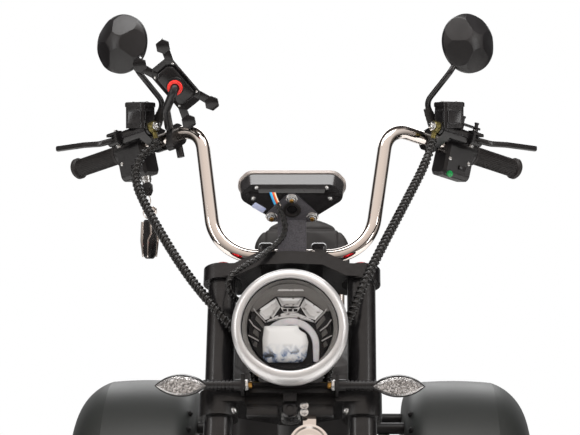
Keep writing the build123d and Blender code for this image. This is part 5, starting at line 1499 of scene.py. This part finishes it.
# Ribbon: five thin PVC wires side by side, each in its own colour
ribbon_pvc, tree = new_tree("coloured PVC wire")
across = add_node(tree, "UVMap", uv_map="wires")
wire_no = add_node(tree, "SeparateXYZ", {"Vector": across.outputs["UV"]})
tone = add_node(tree, "ValToRGB", {"Fac": wire_no.outputs["X"]})
tone.color_ramp.interpolation = "CONSTANT"
set_stops(tone, ((0.0, "#2f9be0"), (0.2, "#3ec1d6"), (0.4, "#d42a33"), (0.6, "#f08a2c"), (0.8, "#ead9c8")))
give_surface(tree, {"Base Color": tone.outputs["Color"], "Roughness": 0.35})
wires = []
for wire_at in range(5):
    shift = Vector(((wire_at - 2) * 0.0021, 0, 0))
    wire = swept("ribbon_wire", [point + shift for point in points[: bare + 1]], 0.0012, 2)
    layer = wire.data.uv_layers.new(name="wires")
    for corner in layer.data:
        corner.uv = ((wire_at + 0.5) / 5, 0.5)
    wires.append(wire)
ribbon = gather("dash_ribbon", wires)
fit(ribbon, "steering", ribbon_pvc, angle=60)

# Keys: the lock is in the foot of the right-hand housing. A key with a moulded bow stands in it, and
# a fob with chromed bands and a spare key hang from two split rings.
key_root = bar_spot(-1, 150, 0, -55)
key_lock = turned("key_lock", [(10, 0), (10, 9), (8.5, 11), (8.5, 14), (0.5, 14)], 32)
key_lock.data.transform(frame_at(key_root, sided(-1, -bar_up), sided(-1, bar_out)))
key_drop = key_root + sided(-1, -bar_up) * 0.0135
bow_edge = [(-4, 2), (-10, -4), (-11, -16), (-7, -25), (7, -25), (11, -16), (10, -4), (4, 2)]
key_bow = plate("key_bow", bow_edge, 5)
key_bow.data.transform(frame_at(key_drop, (0.35, -0.94, 0), (0, 0, 1)))
fob_half = [(-9, 0), (-13, -8), (-14.5, -40), (-12, -68), (-7, -74)]
key_fob = plate("key_fob", fob_half + [(-x, y) for x, y in reversed(fob_half)], 9)
for way in (1, -1):
    inset_top(key_fob, (3.2, 1.8), way=way)
fob_frame = frame_at(key_drop + Vector((0.004, 0, -0.070)), (0.25, -0.97, 0), (0, 0, 1))
key_fob.data.transform(fob_frame)
fit(key_lock, "steering", bright_zinc)
key_mouldings = gather("key_mouldings", [key_bow, key_fob])
fit(key_mouldings, "steering", gloss_black, edge=0.8)

hoop = [(10.2, -0.8), (11.4, -1.1), (12.2, 0), (11.4, 1.1), (10.2, 0.8), (9.8, 0), (10.2, -0.8)]
rings = [turned("split_ring", hoop, 36, loop=True) for _ in range(2)]
rings[0].data.transform(frame_at(key_drop + Vector((0.001, -0.002, -0.035)), (0.9, -0.43, 0), (0, 0, 1)))
rings[1].data.transform(frame_at(key_drop + Vector((0.004, -0.001, -0.057)), (0.3, -0.95, 0), (0, 0, 1)))
band_edge = [(-12, -4), (-13.4, -40), (-10.6, -70), (-13.6, -70.6), (-17.2, -40), (-15.6, -4)]
bands = [plate("fob_band", [(side * x, y) for x, y in band_edge], 10.4) for side in (-1, 1)]
trim_edge = [(-1, -2), (2.4, -2), (3.6, -26), (-1.6, -38), (-2.6, -71), (-6, -71), (-5, -38), (0.4, -26)]
bands.append(plate("fob_trim", trim_edge, 11.8))
for band in bands:
    band.data.transform(fob_frame)
spare_half = [(-7, 10), (-8, 0), (-3, -4), (-3, -34)]
spare_edge = spare_half + [(0, -38)] + [(-x, y) for x, y in reversed(spare_half)] + [(0, 13)]
spare = plate("spare_key", spare_edge, 2)
spare_place = key_drop + Vector((0.011, 0.006, -0.057))
spare.data.transform(frame_at(spare_place, (-0.3, -0.95, -0.25), (0.16, 0, 1)))
key_metal = gather("key_metal", rings + bands + [spare])
fit(key_metal, "steering", bright_chrome, edge=0.2)
